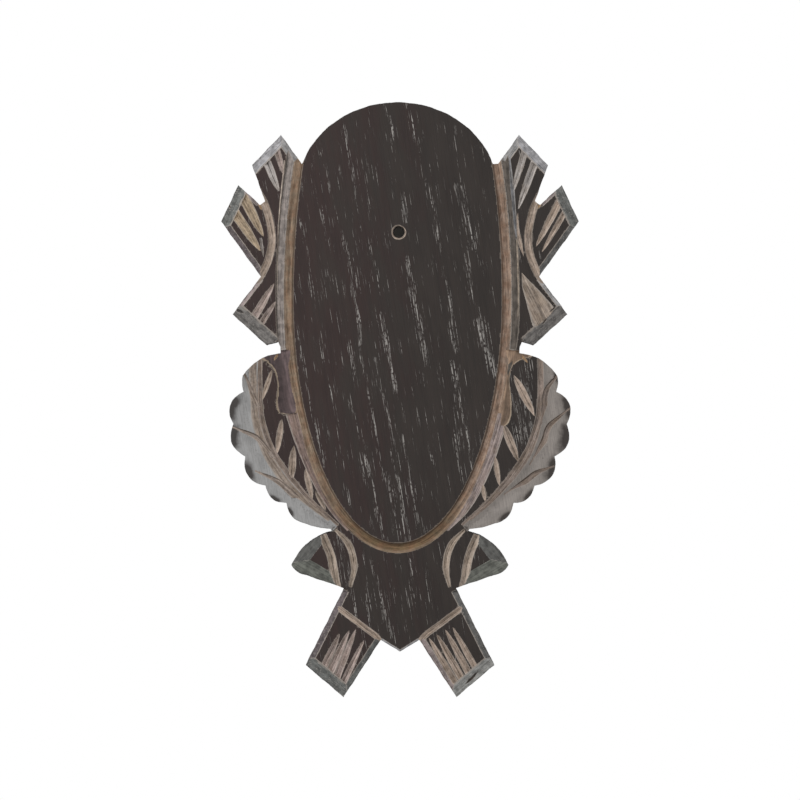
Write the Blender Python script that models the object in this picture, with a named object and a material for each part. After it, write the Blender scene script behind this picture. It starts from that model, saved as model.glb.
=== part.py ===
"""An antler mounting plaque: one oak board with a flat oval field for the antlers, framed by carved branch
stubs, two oak leaves and two acorns.

The board is carved face up, with X across it, Y up the wall and Z out of its face, and is then stood up:
its back is on the plane Y = 0, its face looks along -Y and the origin is at the middle of the back.
Places on the face are (across, up) in thousandths of the board's height, measured from its middle.
What is written for the right half runs anticlockwise, and the left half mirrors it.
"""

import math

import bmesh
import bpy
from mathutils import Vector

# Driving sizes in metres
HEIGHT = 0.2503
THICKNESS = 0.018
FIELD_WIDTH = 0.0876
SCREW_HOLE_DIAMETER = 0.005
SCREW_HOLE_DEPTH = 0.013
RIM_GROOVE_WIDTH = 0.0042
RIM_GROOVE_DEPTH = 0.0016
RIBBON_WIDTH = 0.0030
RIBBON_DROP = 0.0013
FLUTE_WIDTH = 0.0072
FLUTE_DEPTH = 0.0015
LEAF_BORDER_WIDTH = 0.0040
LEAF_BORDER_DROP = 0.0012
END_CUT_WIDTH = 0.0040
SIDE_END_CUT_WIDTH = 0.0055
LOWER_END_CUT_WIDTH = 0.0046
END_CUT_SLOPE = 0.80
SIDE_CUT_WIDTH = 0.0025
THIN_CUT_WIDTH = 0.0013
SIDE_CUT_SLOPE = 0.70
ARC_GROOVE_WIDTH = 0.0032
ARC_GROOVE_DEPTH = 0.0013
MIDRIB_WIDTH = 0.0024
MIDRIB_DEPTH = 0.0010
LEAF_EDGE_DEPTH = 0.0005
LEAF_TROUGH_WIDTH = 0.0086
LEAF_TROUGH_DEPTH = 0.0016
VEIN_WIDTH = 0.0022
ACORN_SLOPE = 0.34
ACORN_GROOVE_WIDTH = 0.0027
TAIL_GROOVE_WIDTH = 0.0025

# A V cut's depth as a share of its width
CUT_STEEPNESS = 0.40
# How far cutters stand above the face and past the board's edges
CLEAR = 0.0020

# The outline's right side, anticlockwise from the tail's point up to the head. A third number is how far
# the edge to the next place bows outward, as a share of its length
TAIL_POINT = (0, -423)
LOWER_STUB = ((32, -403), (95, -500), (159, -446), (94, -316))
ACORN = ((94, -316, 0), (157, -295, 0.12), (183, -277, 0.12), (115, -221, 0))
LEAF = (
    (117, -217, 0.03),
    (159, -208, 0.17),
    (191, -173, 0.21),
    (226, -144, 0.25),
    (260, -95, 0.23),
    (280, -40, 0.26),
    (263, 14, 0.08),
    (264, 41, 0.12),
    (201, 79, 0),
)
NECK = (201, 89)
SIDE_STUB = ((205, 98), (225, 92), (282, 144), (234, 207))
MIDDLE_STUB = ((234, 207), (301, 300), (272, 362), (235, 328))
UPPER_STUB = ((227, 334), (249, 395), (200, 446), (169, 403))
NOTCH = ((165, 397), (157, 397))
HEAD_CENTRE = (-4, 349)
HEAD_HALF_WIDTH = 169

# The oval field: its middle, and its reach below and above that
FIELD_CENTRE = (-4, 168)
FIELD_REACH_DOWN = 408
FIELD_REACH_UP = 535
SCREW_HOLE_PLACE = (-2, 282)

# What is cut along both sides, from below upward
GROOVE_TOP = 440
RIBBON_FOOT = 40
LEAF_BORDER_FOOT = -180
LEAF_BORDER_TOP = -18
MIDRIB = ((116, -199), (147, -171), (172, -144), (192, -119), (215, -82), (230, -39), (235, 0), (235, 76))
ARC_GROOVE = ((250, 196), (236, 205), (221, 235), (215, 265), (217, 292), (226, 326), (240, 352))
ACORN_FLAT = ((124, -284), (151, -268), (134, -246))
ACORN_BAND = ((104, -322), (109, -300), (115, -265), (127, -234), (136, -218))
ACORN_CUP = ((83, -314), (77, -278), (86, -243), (108, -218))
TAIL_GROOVE = ((31, -418), (38, -399), (70, -374), (120, -336))

# The leaf borders' widths at the foot and at the top, as shares of the full width
LEFT_BORDER = (0.36, 1.0)
RIGHT_BORDER = (0.70, 0.90)

# The flutes' widths from their round foot up to the neck: (up, share of the full width)
LEFT_FLUTE = (
    (-19, 0.10),
    (-17, 0.50),
    (-13, 0.90),
    (-5, 1.00),
    (5, 0.97),
    (17, 0.83),
    (28, 0.70),
    (42, 0.70),
    (55, 0.78),
    (65, 1.00),
    (70, 1.25),
)
RIGHT_FLUTE = (
    (-40, 0.10),
    (-37, 0.42),
    (-30, 0.62),
    (-18, 0.65),
    (3, 0.52),
    (22, 0.30),
    (37, 0.17),
    (52, 0.17),
    (61, 0.26),
    (70, 0.62),
    (76, 1.05),
)

# Hand-cut strokes that run in from the stubs' ends, with their widths in metres: the foot, then the tip
LEFT_STROKES = (
    ((-222, 396), (-203, 350), 0.0028),
    ((-206, 417), (-195, 378), 0.0022),
    ((-262, 340), (-229, 274), 0.0033),
    ((-275, 311), (-234, 250), 0.0033),
    ((-247, 135), (-211, 196), 0.0024),
    ((-236, 124), (-208, 166), 0.0018),
    ((-125, -448), (-98, -388), 0.0022),
    ((-115, -458), (-82, -388), 0.0024),
    ((-105, -466), (-72, -389), 0.0022),
    ((-94, -472), (-63, -398), 0.0020),
)
RIGHT_STROKES = (
    ((209, 416), (187, 343), 0.0028),
    ((226, 399), (198, 320), 0.0032),
    ((267, 332), (228, 257), 0.0030),
    ((277, 316), (238, 248), 0.0024),
    ((256, 139), (206, 214), 0.0034),
    ((243, 123), (204, 186), 0.0030),
    ((229, 107), (207, 160), 0.0020),
    ((96, -480), (50, -400), 0.0022),
    ((105, -470), (62, -394), 0.0024),
    ((115, -458), (78, -387), 0.0022),
    ((124, -447), (87, -379), 0.0020),
)

# Lens-shaped cuts, pointed at both ends: the leaves' inner veins and one nick beside the right arc groove
LEFT_LENSES = (
    ((-214, 48), (-234, -6)),
    ((-195, -29), (-206, -92)),
    ((-177, -76), (-184, -142)),
    ((-161, -114), (-147, -167)),
    ((-144, -157), (-123, -193)),
)
RIGHT_LENSES = (
    ((190, 44), (226, -30)),
    ((171, -34), (198, -111)),
    ((157, -91), (168, -146)),
    ((138, -138), (144, -173)),
    ((196, 320), (206, 234)),
)

# The leaves' outer veins, from beside the midrib to the notches between the lobes
LEFT_VEINS = (
    ((-240, 0), (-256, 36)),
    ((-219, -86), (-278, -46)),
    ((-182, -150), (-232, -122)),
    ((-138, -199), (-206, -170)),
)
RIGHT_VEINS = (
    ((239, -2), (262, 40)),
    ((239, -65), (275, -20)),
    ((212, -134), (246, -115)),
    ((134, -197), (206, -170)),
)


def on_face(place, rise=0.0):
    """A place on the face as a point, standing this far out of it."""
    return Vector((place[0] * HEIGHT / 1000, place[1] * HEIGHT / 1000, THICKNESS + rise))


def on_side(side, places):
    """The right half's places on the side asked for, still anticlockwise."""
    if side > 0:
        return list(places)
    return [(-across, up) for across, up in reversed(places)]


def bowed_edge(start, end, bow, steps=5):
    """Points of an edge from start towards end, bowed to its right by this share of its length."""
    if bow == 0:
        return [start]
    along = end - start
    outward = Vector((along.y, -along.x))
    shares = [step / steps for step in range(steps)]
    return [start + along * share + outward * bow * 4 * share * (1 - share) for share in shares]


def side_outline(side):
    """One side of the outline, from the tail's point up to the notch beside the head."""
    corners = [(*TAIL_POINT, 0)]
    corners += [(*place, 0) for place in LOWER_STUB[:3]]
    corners += ACORN
    corners += LEAF
    corners += [(*place, 0) for place in (NECK, *SIDE_STUB, *MIDDLE_STUB[1:])]
    corners += [(*place, 0) for place in (*UPPER_STUB, *NOTCH)]
    points = []
    for corner, following in zip(corners, corners[1:]):
        points += bowed_edge(on_face(corner).xy, on_face(following).xy, corner[2])
    return [Vector((side * point.x, point.y)) for point in points]


def head_arc(steps=32):
    """The round head, from the right notch over the top to the left one."""
    centre = on_face(HEAD_CENTRE).xy
    half_width = HEAD_HALF_WIDTH * HEIGHT / 1000
    reach = HEIGHT / 2 - centre.y
    first = math.asin((on_face(NOTCH[-1]).y - centre.y) / reach)
    angles = [first + (math.pi - 2 * first) * step / steps for step in range(steps + 1)]
    return [centre + Vector((half_width * math.cos(angle), reach * math.sin(angle))) for angle in angles]


def collection(name):
    made = bpy.data.collections.new(name)
    bpy.context.scene.collection.children.link(made)
    return made


def spline(curve, points, closed=False, sizes=None):
    line = curve.splines.new("POLY")
    line.points.add(len(points) - 1)
    line.use_cyclic_u = closed
    for index, (knot, point) in enumerate(zip(line.points, points)):
        knot.co = (*point.xy, point[2] if len(point) > 2 else 0.0, 1.0)
        knot.radius = sizes[index] if sizes else 1.0


def as_mesh_object(curve, home):
    """A curve turned into a closed mesh object of the same name."""
    drawn = bpy.data.objects.new(curve.name, curve)
    home.objects.link(drawn)
    mesh = bpy.data.meshes.new_from_object(drawn.evaluated_get(bpy.context.evaluated_depsgraph_get()))
    bpy.data.objects.remove(drawn)
    shell = bmesh.new()
    shell.from_mesh(mesh)
    bmesh.ops.remove_doubles(shell, verts=shell.verts, dist=1e-6)
    bmesh.ops.recalc_face_normals(shell, faces=shell.faces)
    shell.to_mesh(mesh)
    shell.free()
    made = bpy.data.objects.new(curve.name, mesh)
    home.objects.link(made)
    return made


def cutter(name, profile, path, sizes=None):
    """A cutter: a closed profile (right of the way it travels, and out of the face) swept along a path."""
    section = bpy.data.curves.new(name + "_section", "CURVE")
    section.dimensions = "2D"
    section.fill_mode = "NONE"
    spline(section, [Vector(point) for point in profile], closed=True)
    holder = bpy.data.objects.new(section.name, section)
    cutters.objects.link(holder)
    route = bpy.data.curves.new(name, "CURVE")
    route.dimensions = "3D"
    route.twist_mode = "Z_UP"
    route.bevel_mode = "OBJECT"
    route.bevel_object = holder
    route.use_fill_caps = True
    spline(route, path, sizes=sizes)
    made = as_mesh_object(route, cutters)
    bpy.data.objects.remove(holder)
    made.parent = upright
    made.hide_render = True
    made.display_type = "WIRE"
    return made


def v_profile(width, steepness=CUT_STEEPNESS):
    """A V as wide as this at the face, with its sides carried on above it."""
    half = width / 2
    overhang = half + CLEAR / (2 * steepness)
    return ((-overhang, CLEAR), (0, -2 * half * steepness), (overhang, CLEAR))


def u_profile(width, depth, steps=6):
    """A gouge's round-bottomed section, with upright sides above the face."""
    angles = [math.pi * step / steps for step in range(steps + 1)]
    floor = [(-math.cos(angle) * width / 2, -math.sin(angle) * depth) for angle in angles]
    return ((-width / 2, CLEAR), *floor, (width / 2, CLEAR))


def slope_profile(inner, outer, slope):
    """A flat that starts at the face this far to the right of the path and falls outward."""
    return ((inner - CLEAR / slope, CLEAR), (outer, (inner - outer) * slope), (outer, CLEAR))


def lengthened(path, before, after):
    """A path with its two ends carried on, or cut back, by these lengths."""
    start = path[0] + (path[0] - path[1]).normalized() * before
    end = path[-1] + (path[-1] - path[-2]).normalized() * after
    return [start, *path[1:-1], end]


def heights(foot, top, steps=12):
    """Evenly spaced heights up the board."""
    return [foot + (top - foot) * step / steps for step in range(steps + 1)]


def beside_field(outward, ups):
    """The right half's line this far outside the oval field, at these heights up the board."""
    middle = on_face(FIELD_CENTRE)
    points = []
    for up in ups:
        rise = up - FIELD_CENTRE[1]
        reach = FIELD_REACH_UP if rise > 0 else FIELD_REACH_DOWN
        angle = math.asin(rise / reach)
        reach *= HEIGHT / 1000
        edge = Vector((FIELD_WIDTH / 2 * math.cos(angle), reach * math.sin(angle), 0))
        away = Vector((reach * math.cos(angle), FIELD_WIDTH / 2 * math.sin(angle), 0)).normalized()
        points.append(middle + edge + away * outward)
    return points


def mirrored(side, path):
    """The right half's path on the side asked for, mirrored across the oval's middle."""
    if side > 0:
        return path
    middle = on_face(FIELD_CENTRE).x
    return [Vector((2 * middle - point.x, point.y, point.z)) for point in reversed(path)]


def cut_rim_groove():
    """The gouged groove that frames the oval, in at one notch beside the head and out at the other."""
    line = RIM_GROOVE_WIDTH / 2
    middle = on_face(FIELD_CENTRE)
    half_width = FIELD_WIDTH / 2
    down = FIELD_REACH_DOWN * HEIGHT / 1000
    right = beside_field(line, heights(FIELD_CENTRE[1], GROOVE_TOP, 10))
    round_below = []
    for step in range(1, 40):
        angle = -math.pi * step / 40
        edge = Vector((half_width * math.cos(angle), down * math.sin(angle), 0))
        away = Vector((down * math.cos(angle), half_width * math.sin(angle), 0)).normalized()
        round_below.append(middle + edge + away * line)
    path = list(reversed(right)) + round_below + list(reversed(mirrored(-1, right)))
    cutter("rim_groove", u_profile(RIM_GROOVE_WIDTH, RIM_GROOVE_DEPTH), path)


def flute_profile(inside, steps=6):
    """A gouge's section on the outer side of the groove, which it opens into."""
    middle = FLUTE_WIDTH / 2
    angles = [math.pi * step / steps for step in range(steps // 3, steps + 1)]
    floor = [(middle - middle * math.cos(angle), -FLUTE_DEPTH * math.sin(angle)) for angle in angles]
    return ((-inside, CLEAR), (-inside, floor[0][1]), *floor, (FLUTE_WIDTH, CLEAR))


def cut_ribbon(side, name, flute, border_sizes):
    """The strip beside the groove: it falls outward to a short wall, then runs into a round-ended flute."""
    slope = RIBBON_DROP / RIBBON_WIDTH
    inside = RIM_GROOVE_WIDTH / 4
    profile = (
        (-inside, CLEAR),
        (-inside, -inside * slope),
        (RIBBON_WIDTH, -RIBBON_DROP),
        (RIBBON_WIDTH + RIBBON_DROP / 6, CLEAR),
    )
    path = beside_field(RIM_GROOVE_WIDTH, heights(RIBBON_FOOT, GROOVE_TOP - 8, 14))
    cutter("ribbon_" + name, profile, mirrored(side, path))
    path = beside_field(RIM_GROOVE_WIDTH, [up for up, size in flute])
    sizes = [size for up, size in flute]
    sizes = sizes if side > 0 else sizes[::-1]
    cutter("flute_" + name, flute_profile(inside), mirrored(side, path), sizes)
    rise = LEAF_BORDER_DROP / LEAF_BORDER_WIDTH
    profile = (
        (-inside, CLEAR),
        (-inside, -LEAF_BORDER_DROP - inside * rise),
        (LEAF_BORDER_WIDTH + CLEAR / rise, CLEAR),
    )
    path = beside_field(RIM_GROOVE_WIDTH, heights(LEAF_BORDER_FOOT, LEAF_BORDER_TOP))
    foot, top = border_sizes
    sizes = [foot + (top - foot) * step / (len(path) - 1) for step in range(len(path))]
    sizes = sizes if side > 0 else sizes[::-1]
    cutter("leaf_border_" + name, profile, mirrored(side, path), sizes)


def cut_edge(side, name, edge, width, slope, before, after):
    """A flat facet along one edge of the outline, this wide on the face and falling at this slope."""
    path = [on_face(place) for place in on_side(side, edge)]
    ends = (before, after) if side > 0 else (after, before)
    cutter(name, slope_profile(-width, CLEAR, slope), lengthened(path, *ends))


def cut_stubs(side, name):
    """The slanting facets at the branches' sawn ends and sides, and the groove behind two of them."""
    past = CLEAR
    short = -CLEAR / 4
    for stub, places, width in (
        ("upper", UPPER_STUB, END_CUT_WIDTH),
        ("middle", MIDDLE_STUB, END_CUT_WIDTH),
        ("side", SIDE_STUB, SIDE_END_CUT_WIDTH),
        ("lower", LOWER_STUB, LOWER_END_CUT_WIDTH),
    ):
        cut_edge(side, f"{stub}_stub_end_{name}", places[1:3], width, END_CUT_SLOPE, past, past)
    for edge, places, width, before, after in (
        ("upper_stub_inner", UPPER_STUB[2:], SIDE_CUT_WIDTH, past, short),
        ("middle_stub_below", MIDDLE_STUB[:2], SIDE_CUT_WIDTH, short, past),
        ("middle_stub_above", MIDDLE_STUB[2:], THIN_CUT_WIDTH, past, short),
        ("side_stub_above", SIDE_STUB[2:], THIN_CUT_WIDTH, past, short),
        ("lower_stub_inner", LOWER_STUB[:2], SIDE_CUT_WIDTH, short, past),
        ("lower_stub_outer", LOWER_STUB[2:], SIDE_CUT_WIDTH, past, short),
    ):
        cut_edge(side, f"{edge}_{name}", places, width, SIDE_CUT_SLOPE, before, after)
    path = [on_face(place) for place in on_side(side, ARC_GROOVE)]
    cutter("arc_groove_" + name, u_profile(ARC_GROOVE_WIDTH, ARC_GROOVE_DEPTH), path)


def distance_to_line(point, line):
    """How far a point is from a line of points, in the plane of the face."""
    nearest = math.inf
    for start, end in zip(line, line[1:]):
        along = (end - start).xy
        share = max(0.0, min(1.0, (point - start).xy.dot(along) / along.length_squared))
        nearest = min(nearest, ((point - start).xy - along * share).length)
    return nearest


def trough_depth(beyond):
    """How deep the leaf's hollowed outer half lies this far beyond the midrib's cut."""
    share = min(1.0, max(0.0, beyond / LEAF_TROUGH_WIDTH))
    return LEAF_EDGE_DEPTH * (1 - share) + LEAF_TROUGH_DEPTH * math.sin(math.pi * share)


def cut_leaf(side, name, lenses, veins, steps=8):
    """The leaf: a V for the midrib, a hollowed outer half inside the lobes' tips, and veins in both halves."""
    half = MIDRIB_WIDTH / 2
    hollow = [LEAF_TROUGH_WIDTH * step / steps for step in range(steps + 1)]
    profile = (
        (-half, CLEAR),
        (-half, 0),
        (0, -MIDRIB_DEPTH),
        *((half + beyond, -trough_depth(beyond)) for beyond in hollow),
        (half + LEAF_TROUGH_WIDTH, CLEAR),
    )
    midrib = [on_face(place) for place in on_side(side, MIDRIB)]
    sizes = [0.5, 0.7, 0.9, 1, 1, 1, 1, 0.75]
    cutter("leaf_" + name, profile, midrib, sizes if side > 0 else sizes[::-1])
    for index, (start, end) in enumerate(veins):
        ends = lengthened([on_face(start), on_face(end)], VEIN_WIDTH / 2, VEIN_WIDTH / 2)
        points = [ends[0].lerp(ends[1], step / steps) for step in range(steps + 1)]
        for point in points:
            point.z -= trough_depth(distance_to_line(point, midrib) - half)
        sizes = [0.4 + 0.6 * step / steps for step in range(steps + 1)]
        cutter(f"outer_vein_{name}_{index + 1}", v_profile(VEIN_WIDTH), points, sizes)
    for index, (start, end) in enumerate(lenses):
        path = [on_face(start, CLEAR / 5), on_face(start).lerp(on_face(end), 0.5), on_face(end, CLEAR / 5)]
        cutter(f"lens_{name}_{index + 1}", v_profile(VEIN_WIDTH), path, [0.15, 1, 0.15])


def cut_acorn(side, name):
    """The acorn: two facets fall from a small flat to the nut's edge, and V cuts part nut and cup."""
    bottom, outer, top = ACORN_FLAT
    reach = (on_face(ACORN[2]) - on_face(outer)).length + CLEAR
    profile = slope_profile(0, reach, ACORN_SLOPE)
    for facet, start, end, before, after in (
        ("lower", bottom, outer, ACORN_GROOVE_WIDTH, reach),
        ("upper", outer, top, reach, ACORN_GROOVE_WIDTH / 2),
    ):
        path = [on_face(place) for place in on_side(side, (start, end))]
        ends = (before, after) if side > 0 else (after, before)
        cutter(f"nut_{facet}_{name}", profile, lengthened(path, *ends))
    path = [on_face(place) for place in on_side(side, ACORN_BAND)]
    cutter("acorn_band_" + name, v_profile(ACORN_GROOVE_WIDTH), path)
    path = [on_face(place) for place in on_side(side, ACORN_CUP)]
    path[0].z += CLEAR / 5
    path[-1].z += CLEAR / 5
    cutter("acorn_cup_" + name, v_profile(ACORN_GROOVE_WIDTH), path, [0.3, 1, 1, 0.3])
    path = [on_face(place) for place in on_side(side, TAIL_GROOVE)]
    cutter("tail_groove_" + name, v_profile(TAIL_GROOVE_WIDTH), path)


def cut_strokes(strokes, name):
    """Tapering V strokes from the stubs' end facets towards their roots."""
    for index, (foot, tip, width) in enumerate(strokes):
        path = [on_face(foot), on_face(foot).lerp(on_face(tip), 0.6), on_face(tip, CLEAR / 5)]
        cutter(f"stroke_{name}_{index + 1}", v_profile(width), path, [1, 0.85, 0.2])


def cut_screw_hole():
    """The plain hole drilled into the field for the screw that holds the antlers."""
    shell = bmesh.new()
    radius = SCREW_HOLE_DIAMETER / 2
    length = SCREW_HOLE_DEPTH + CLEAR
    bmesh.ops.create_cone(
        shell, cap_ends=True, segments=24, radius1=radius, radius2=radius, depth=length
    )
    mesh = bpy.data.meshes.new("screw_hole")
    shell.to_mesh(mesh)
    shell.free()
    drill = bpy.data.objects.new("screw_hole", mesh)
    cutters.objects.link(drill)
    drill.parent = upright
    drill.location = on_face(SCREW_HOLE_PLACE, CLEAR - length / 2)
    drill.hide_render = True
    drill.display_type = "WIRE"


def stained_oak():
    material = bpy.data.materials.new("stained_oak")
    material.use_nodes = True
    shader = material.node_tree.nodes["Principled BSDF"]
    shader.inputs["Base Color"].default_value = (0.047, 0.036, 0.031, 1.0)
    shader.inputs["Roughness"].default_value = 0.62
    shader.inputs["Metallic"].default_value = 0.0
    return material


def make_board():
    """The board: its outline sawn out at full thickness and cut by everything above."""
    outline = side_outline(1) + head_arc() + list(reversed(side_outline(-1)))[:-1]
    flat = bpy.data.curves.new("carved_plaque", "CURVE")
    flat.dimensions = "2D"
    flat.fill_mode = "BOTH"
    flat.extrude = THICKNESS / 2
    spline(flat, outline, closed=True)
    board = as_mesh_object(flat, plaque)
    board.parent = upright
    board.location = (0, 0, THICKNESS / 2)
    board.data.materials.append(stained_oak())
    carving = board.modifiers.new("carving", "BOOLEAN")
    carving.operation = "DIFFERENCE"
    carving.solver = "EXACT"
    carving.operand_type = "COLLECTION"
    carving.collection = cutters


for leftover in list(bpy.data.objects):
    bpy.data.objects.remove(leftover)

plaque = collection("antler_mounting_plaque")
cutters = collection("carving_cutters")
upright = bpy.data.objects.new("wall_line", None)
plaque.objects.link(upright)
upright.rotation_euler = (math.pi / 2, 0, 0)

cut_rim_groove()
for side, name, flute, border_sizes, lenses, veins in (
    (-1, "left", LEFT_FLUTE, LEFT_BORDER, LEFT_LENSES, LEFT_VEINS),
    (1, "right", RIGHT_FLUTE, RIGHT_BORDER, RIGHT_LENSES, RIGHT_VEINS),
):
    cut_ribbon(side, name, flute, border_sizes)
    cut_stubs(side, name)
    cut_leaf(side, name, lenses, veins)
    cut_acorn(side, name)
cut_strokes(LEFT_STROKES, "left")
cut_strokes(RIGHT_STROKES, "right")
cut_screw_hole()
make_board()
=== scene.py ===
"""Antler mounting plaque: one stained and limed oak board with a carved frame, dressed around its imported
CAD model. The board stands upright with its face towards -Y. Places on the face are (across, up) in
thousandths of the board's height, measured from its middle, and lengths are in metres."""

import math

import bpy
import numpy as np
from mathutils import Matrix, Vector, noise
from mathutils.geometry import delaunay_2d_cdt
from mathutils.kdtree import KDTree


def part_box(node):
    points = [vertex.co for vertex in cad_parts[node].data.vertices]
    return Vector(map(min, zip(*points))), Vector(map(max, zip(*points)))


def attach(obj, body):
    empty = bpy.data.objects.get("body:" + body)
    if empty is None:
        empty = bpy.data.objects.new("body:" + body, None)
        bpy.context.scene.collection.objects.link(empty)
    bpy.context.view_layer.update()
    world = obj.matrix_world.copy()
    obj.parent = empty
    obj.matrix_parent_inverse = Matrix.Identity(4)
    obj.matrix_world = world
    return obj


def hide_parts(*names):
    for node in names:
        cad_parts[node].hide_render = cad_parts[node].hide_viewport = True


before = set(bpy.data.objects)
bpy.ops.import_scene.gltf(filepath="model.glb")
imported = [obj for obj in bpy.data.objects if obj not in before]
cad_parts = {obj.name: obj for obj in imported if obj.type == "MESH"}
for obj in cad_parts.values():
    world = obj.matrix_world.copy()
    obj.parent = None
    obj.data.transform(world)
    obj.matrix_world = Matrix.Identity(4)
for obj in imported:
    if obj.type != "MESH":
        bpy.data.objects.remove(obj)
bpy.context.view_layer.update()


# The blank: one oak board, sawn to the outline of head, branch stubs, leaves, acorns and tail, and planed
# flat. Its face and sawn edges are stained near black; the back, which hangs on the wall, is left bare.
low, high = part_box("carved_plaque")
HEIGHT = high.z - low.z
FACE = low.y
UNIT = HEIGHT / 1000
EDGE_STEP = 0.00042
SAW_WANDER = 0.00010
SAW_WAVE = 0.011

TAIL_POINT = (0, -423)
LOWER_STUB = ((32, -403), (95, -500), (159, -446), (94, -316))
ACORN = ((94, -316, 0), (157, -295, 0.12), (183, -277, 0.12), (115, -221, 0))
LEAF = (
    (117, -217, 0.03),
    (159, -208, 0.17),
    (191, -173, 0.21),
    (226, -144, 0.25),
    (260, -95, 0.23),
    (280, -40, 0.26),
    (263, 14, 0.08),
    (264, 41, 0.12),
    (201, 79, 0),
)
NECK = (201, 89)
SIDE_STUB = ((205, 98), (225, 92), (282, 144), (234, 207))
MIDDLE_STUB = ((234, 207), (301, 300), (272, 362), (235, 328))
UPPER_STUB = ((227, 334), (249, 395), (200, 446), (169, 403))
NOTCH = ((165, 397), (157, 397))
HEAD_CENTRE = (-4, 349)
HEAD_HALF_WIDTH = 169

chance = np.random.default_rng(7)


def waver(where, longest, waves=5):
    """A smooth random wobble between about -1 and 1 along a length, whose longest wave is this long."""
    total = np.zeros(np.shape(where))
    for number in range(waves):
        turn = chance.uniform(0, 2 * math.pi)
        total += np.sin(2 * math.pi * where * 1.7**number / longest + turn) / (number + 1)
    return total / 1.6


def bowed_edge(start, end, bow):
    """Points of an edge from start towards end, bowed to its right by this share of its length."""
    way = end - start
    steps = max(1, round(float(np.hypot(*way)) / EDGE_STEP))
    share = (np.arange(steps) / steps)[:, None]
    outward = np.array([way[1], -way[0]])
    return start + way * share + outward * bow * 4 * share * (1 - share)


def side_outline(side):
    """One side of the outline, from the tail's point up to the notch beside the head."""
    corners = [TAIL_POINT, *LOWER_STUB[:3], *ACORN, *LEAF, NECK, *SIDE_STUB, *MIDDLE_STUB[1:]]
    corners += [*UPPER_STUB, *NOTCH]
    edges = []
    for corner, following in zip(corners, corners[1:]):
        bow = corner[2] if len(corner) > 2 else 0
        edges.append(bowed_edge(np.array(corner[:2]) * UNIT, np.array(following[:2]) * UNIT, bow))
    return np.concatenate(edges) * (side, 1)


def head_outline():
    """The round head, from the right notch over the top to the left one."""
    centre = np.array(HEAD_CENTRE) * UNIT
    half_width = HEAD_HALF_WIDTH * UNIT
    reach = HEIGHT / 2 - centre[1]
    first = math.asin((NOTCH[-1][1] * UNIT - centre[1]) / reach)
    steps = round(math.pi * half_width / EDGE_STEP)
    angles = np.linspace(first, math.pi - first, steps)
    return centre + np.stack([half_width * np.cos(angles), reach * np.sin(angles)], 1)


outline = np.concatenate([side_outline(1), head_outline(), side_outline(-1)[:0:-1]])
way = np.roll(outline, -1, 0) - np.roll(outline, 1, 0)
outward = np.stack([way[:, 1], -way[:, 0]], 1) / np.hypot(*way.T)[:, None]
run = np.cumsum(np.hypot(*(outline - np.roll(outline, 1, 0)).T))
outline += outward * (SAW_WANDER * waver(run, SAW_WAVE) - SAW_WANDER)[:, None]
outline = np.clip(outline, (low.x, low.z), (high.x, high.z))


def add(tree, kind, inputs=None, **settings):
    """A node with these settings. Each input is a value, or the socket that feeds it."""
    node = tree.nodes.new("ShaderNode" + kind)
    for name, value in settings.items():
        setattr(node, name, value)
    for name, value in (inputs or {}).items():
        if isinstance(value, bpy.types.NodeSocket):
            tree.links.new(value, node.inputs[name])
        else:
            node.inputs[name].default_value = value
    return node


def work_out(tree, operation, *values):
    """One sum on values or sockets."""
    return add(tree, "Math", dict(enumerate(values)), operation=operation).outputs[0]


def mixed(tree, share, first, second):
    """Two colours mixed, with this share of the second."""
    return add(tree, "Mix", {0: share, 6: first, 7: second}, data_type="RGBA").outputs[2]


def tinted(tree, colour, tint, mask, share):
    """A colour with this share of a tint over it wherever the mask is 1."""
    return mixed(tree, work_out(tree, "MULTIPLY", mask, share), colour, tint)


def shaded(tree, colour, base, *parts):
    """A colour times a base value to which each (mask, weight) pair adds."""
    shade = base
    for mask, weight in reversed(parts):
        shade = work_out(tree, "MULTIPLY_ADD", mask, weight, shade)
    return add(tree, "VectorMath", {0: colour, 3: shade}, operation="SCALE").outputs[0]


def shifted(tree, value, mask, by):
    """A value moved up or down by a mask, so that what it marks off has a ragged edge."""
    return work_out(tree, "MULTIPLY_ADD", work_out(tree, "SUBTRACT", mask, 0.5), by, value)


def stepped(tree, value, start, end, first=0.0, last=1.0):
    """A smooth step from one value to another while the input goes from start to end."""
    inputs = {"Value": value, "From Min": start, "From Max": end, "To Min": first, "To Max": last}
    return add(tree, "MapRange", inputs, interpolation_type="SMOOTHSTEP").outputs[0]


def mottle(tree, place, size, detail=2.0, roughness=0.5):
    """Noise between 0 and 1, with features of this size along each axis of a place."""
    scaled = add(tree, "VectorMath", {0: place, 1: size}, operation="DIVIDE").outputs[0]
    inputs = {"Vector": scaled, "Scale": 1.0, "Detail": detail, "Roughness": roughness}
    return add(tree, "TexNoise", inputs).outputs[0]


def effect(name, inputs, outputs):
    """A shader node group that several finishes share: its tree, and its two ends' sockets."""
    tree = bpy.data.node_groups.new(name, "ShaderNodeTree")
    for way_in, sockets in (("INPUT", inputs), ("OUTPUT", outputs)):
        for socket, kind in sockets.items():
            tree.interface.new_socket(socket, in_out=way_in, socket_type="NodeSocket" + kind)
    return tree, tree.nodes.new("NodeGroupInput").outputs, tree.nodes.new("NodeGroupOutput").inputs


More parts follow.
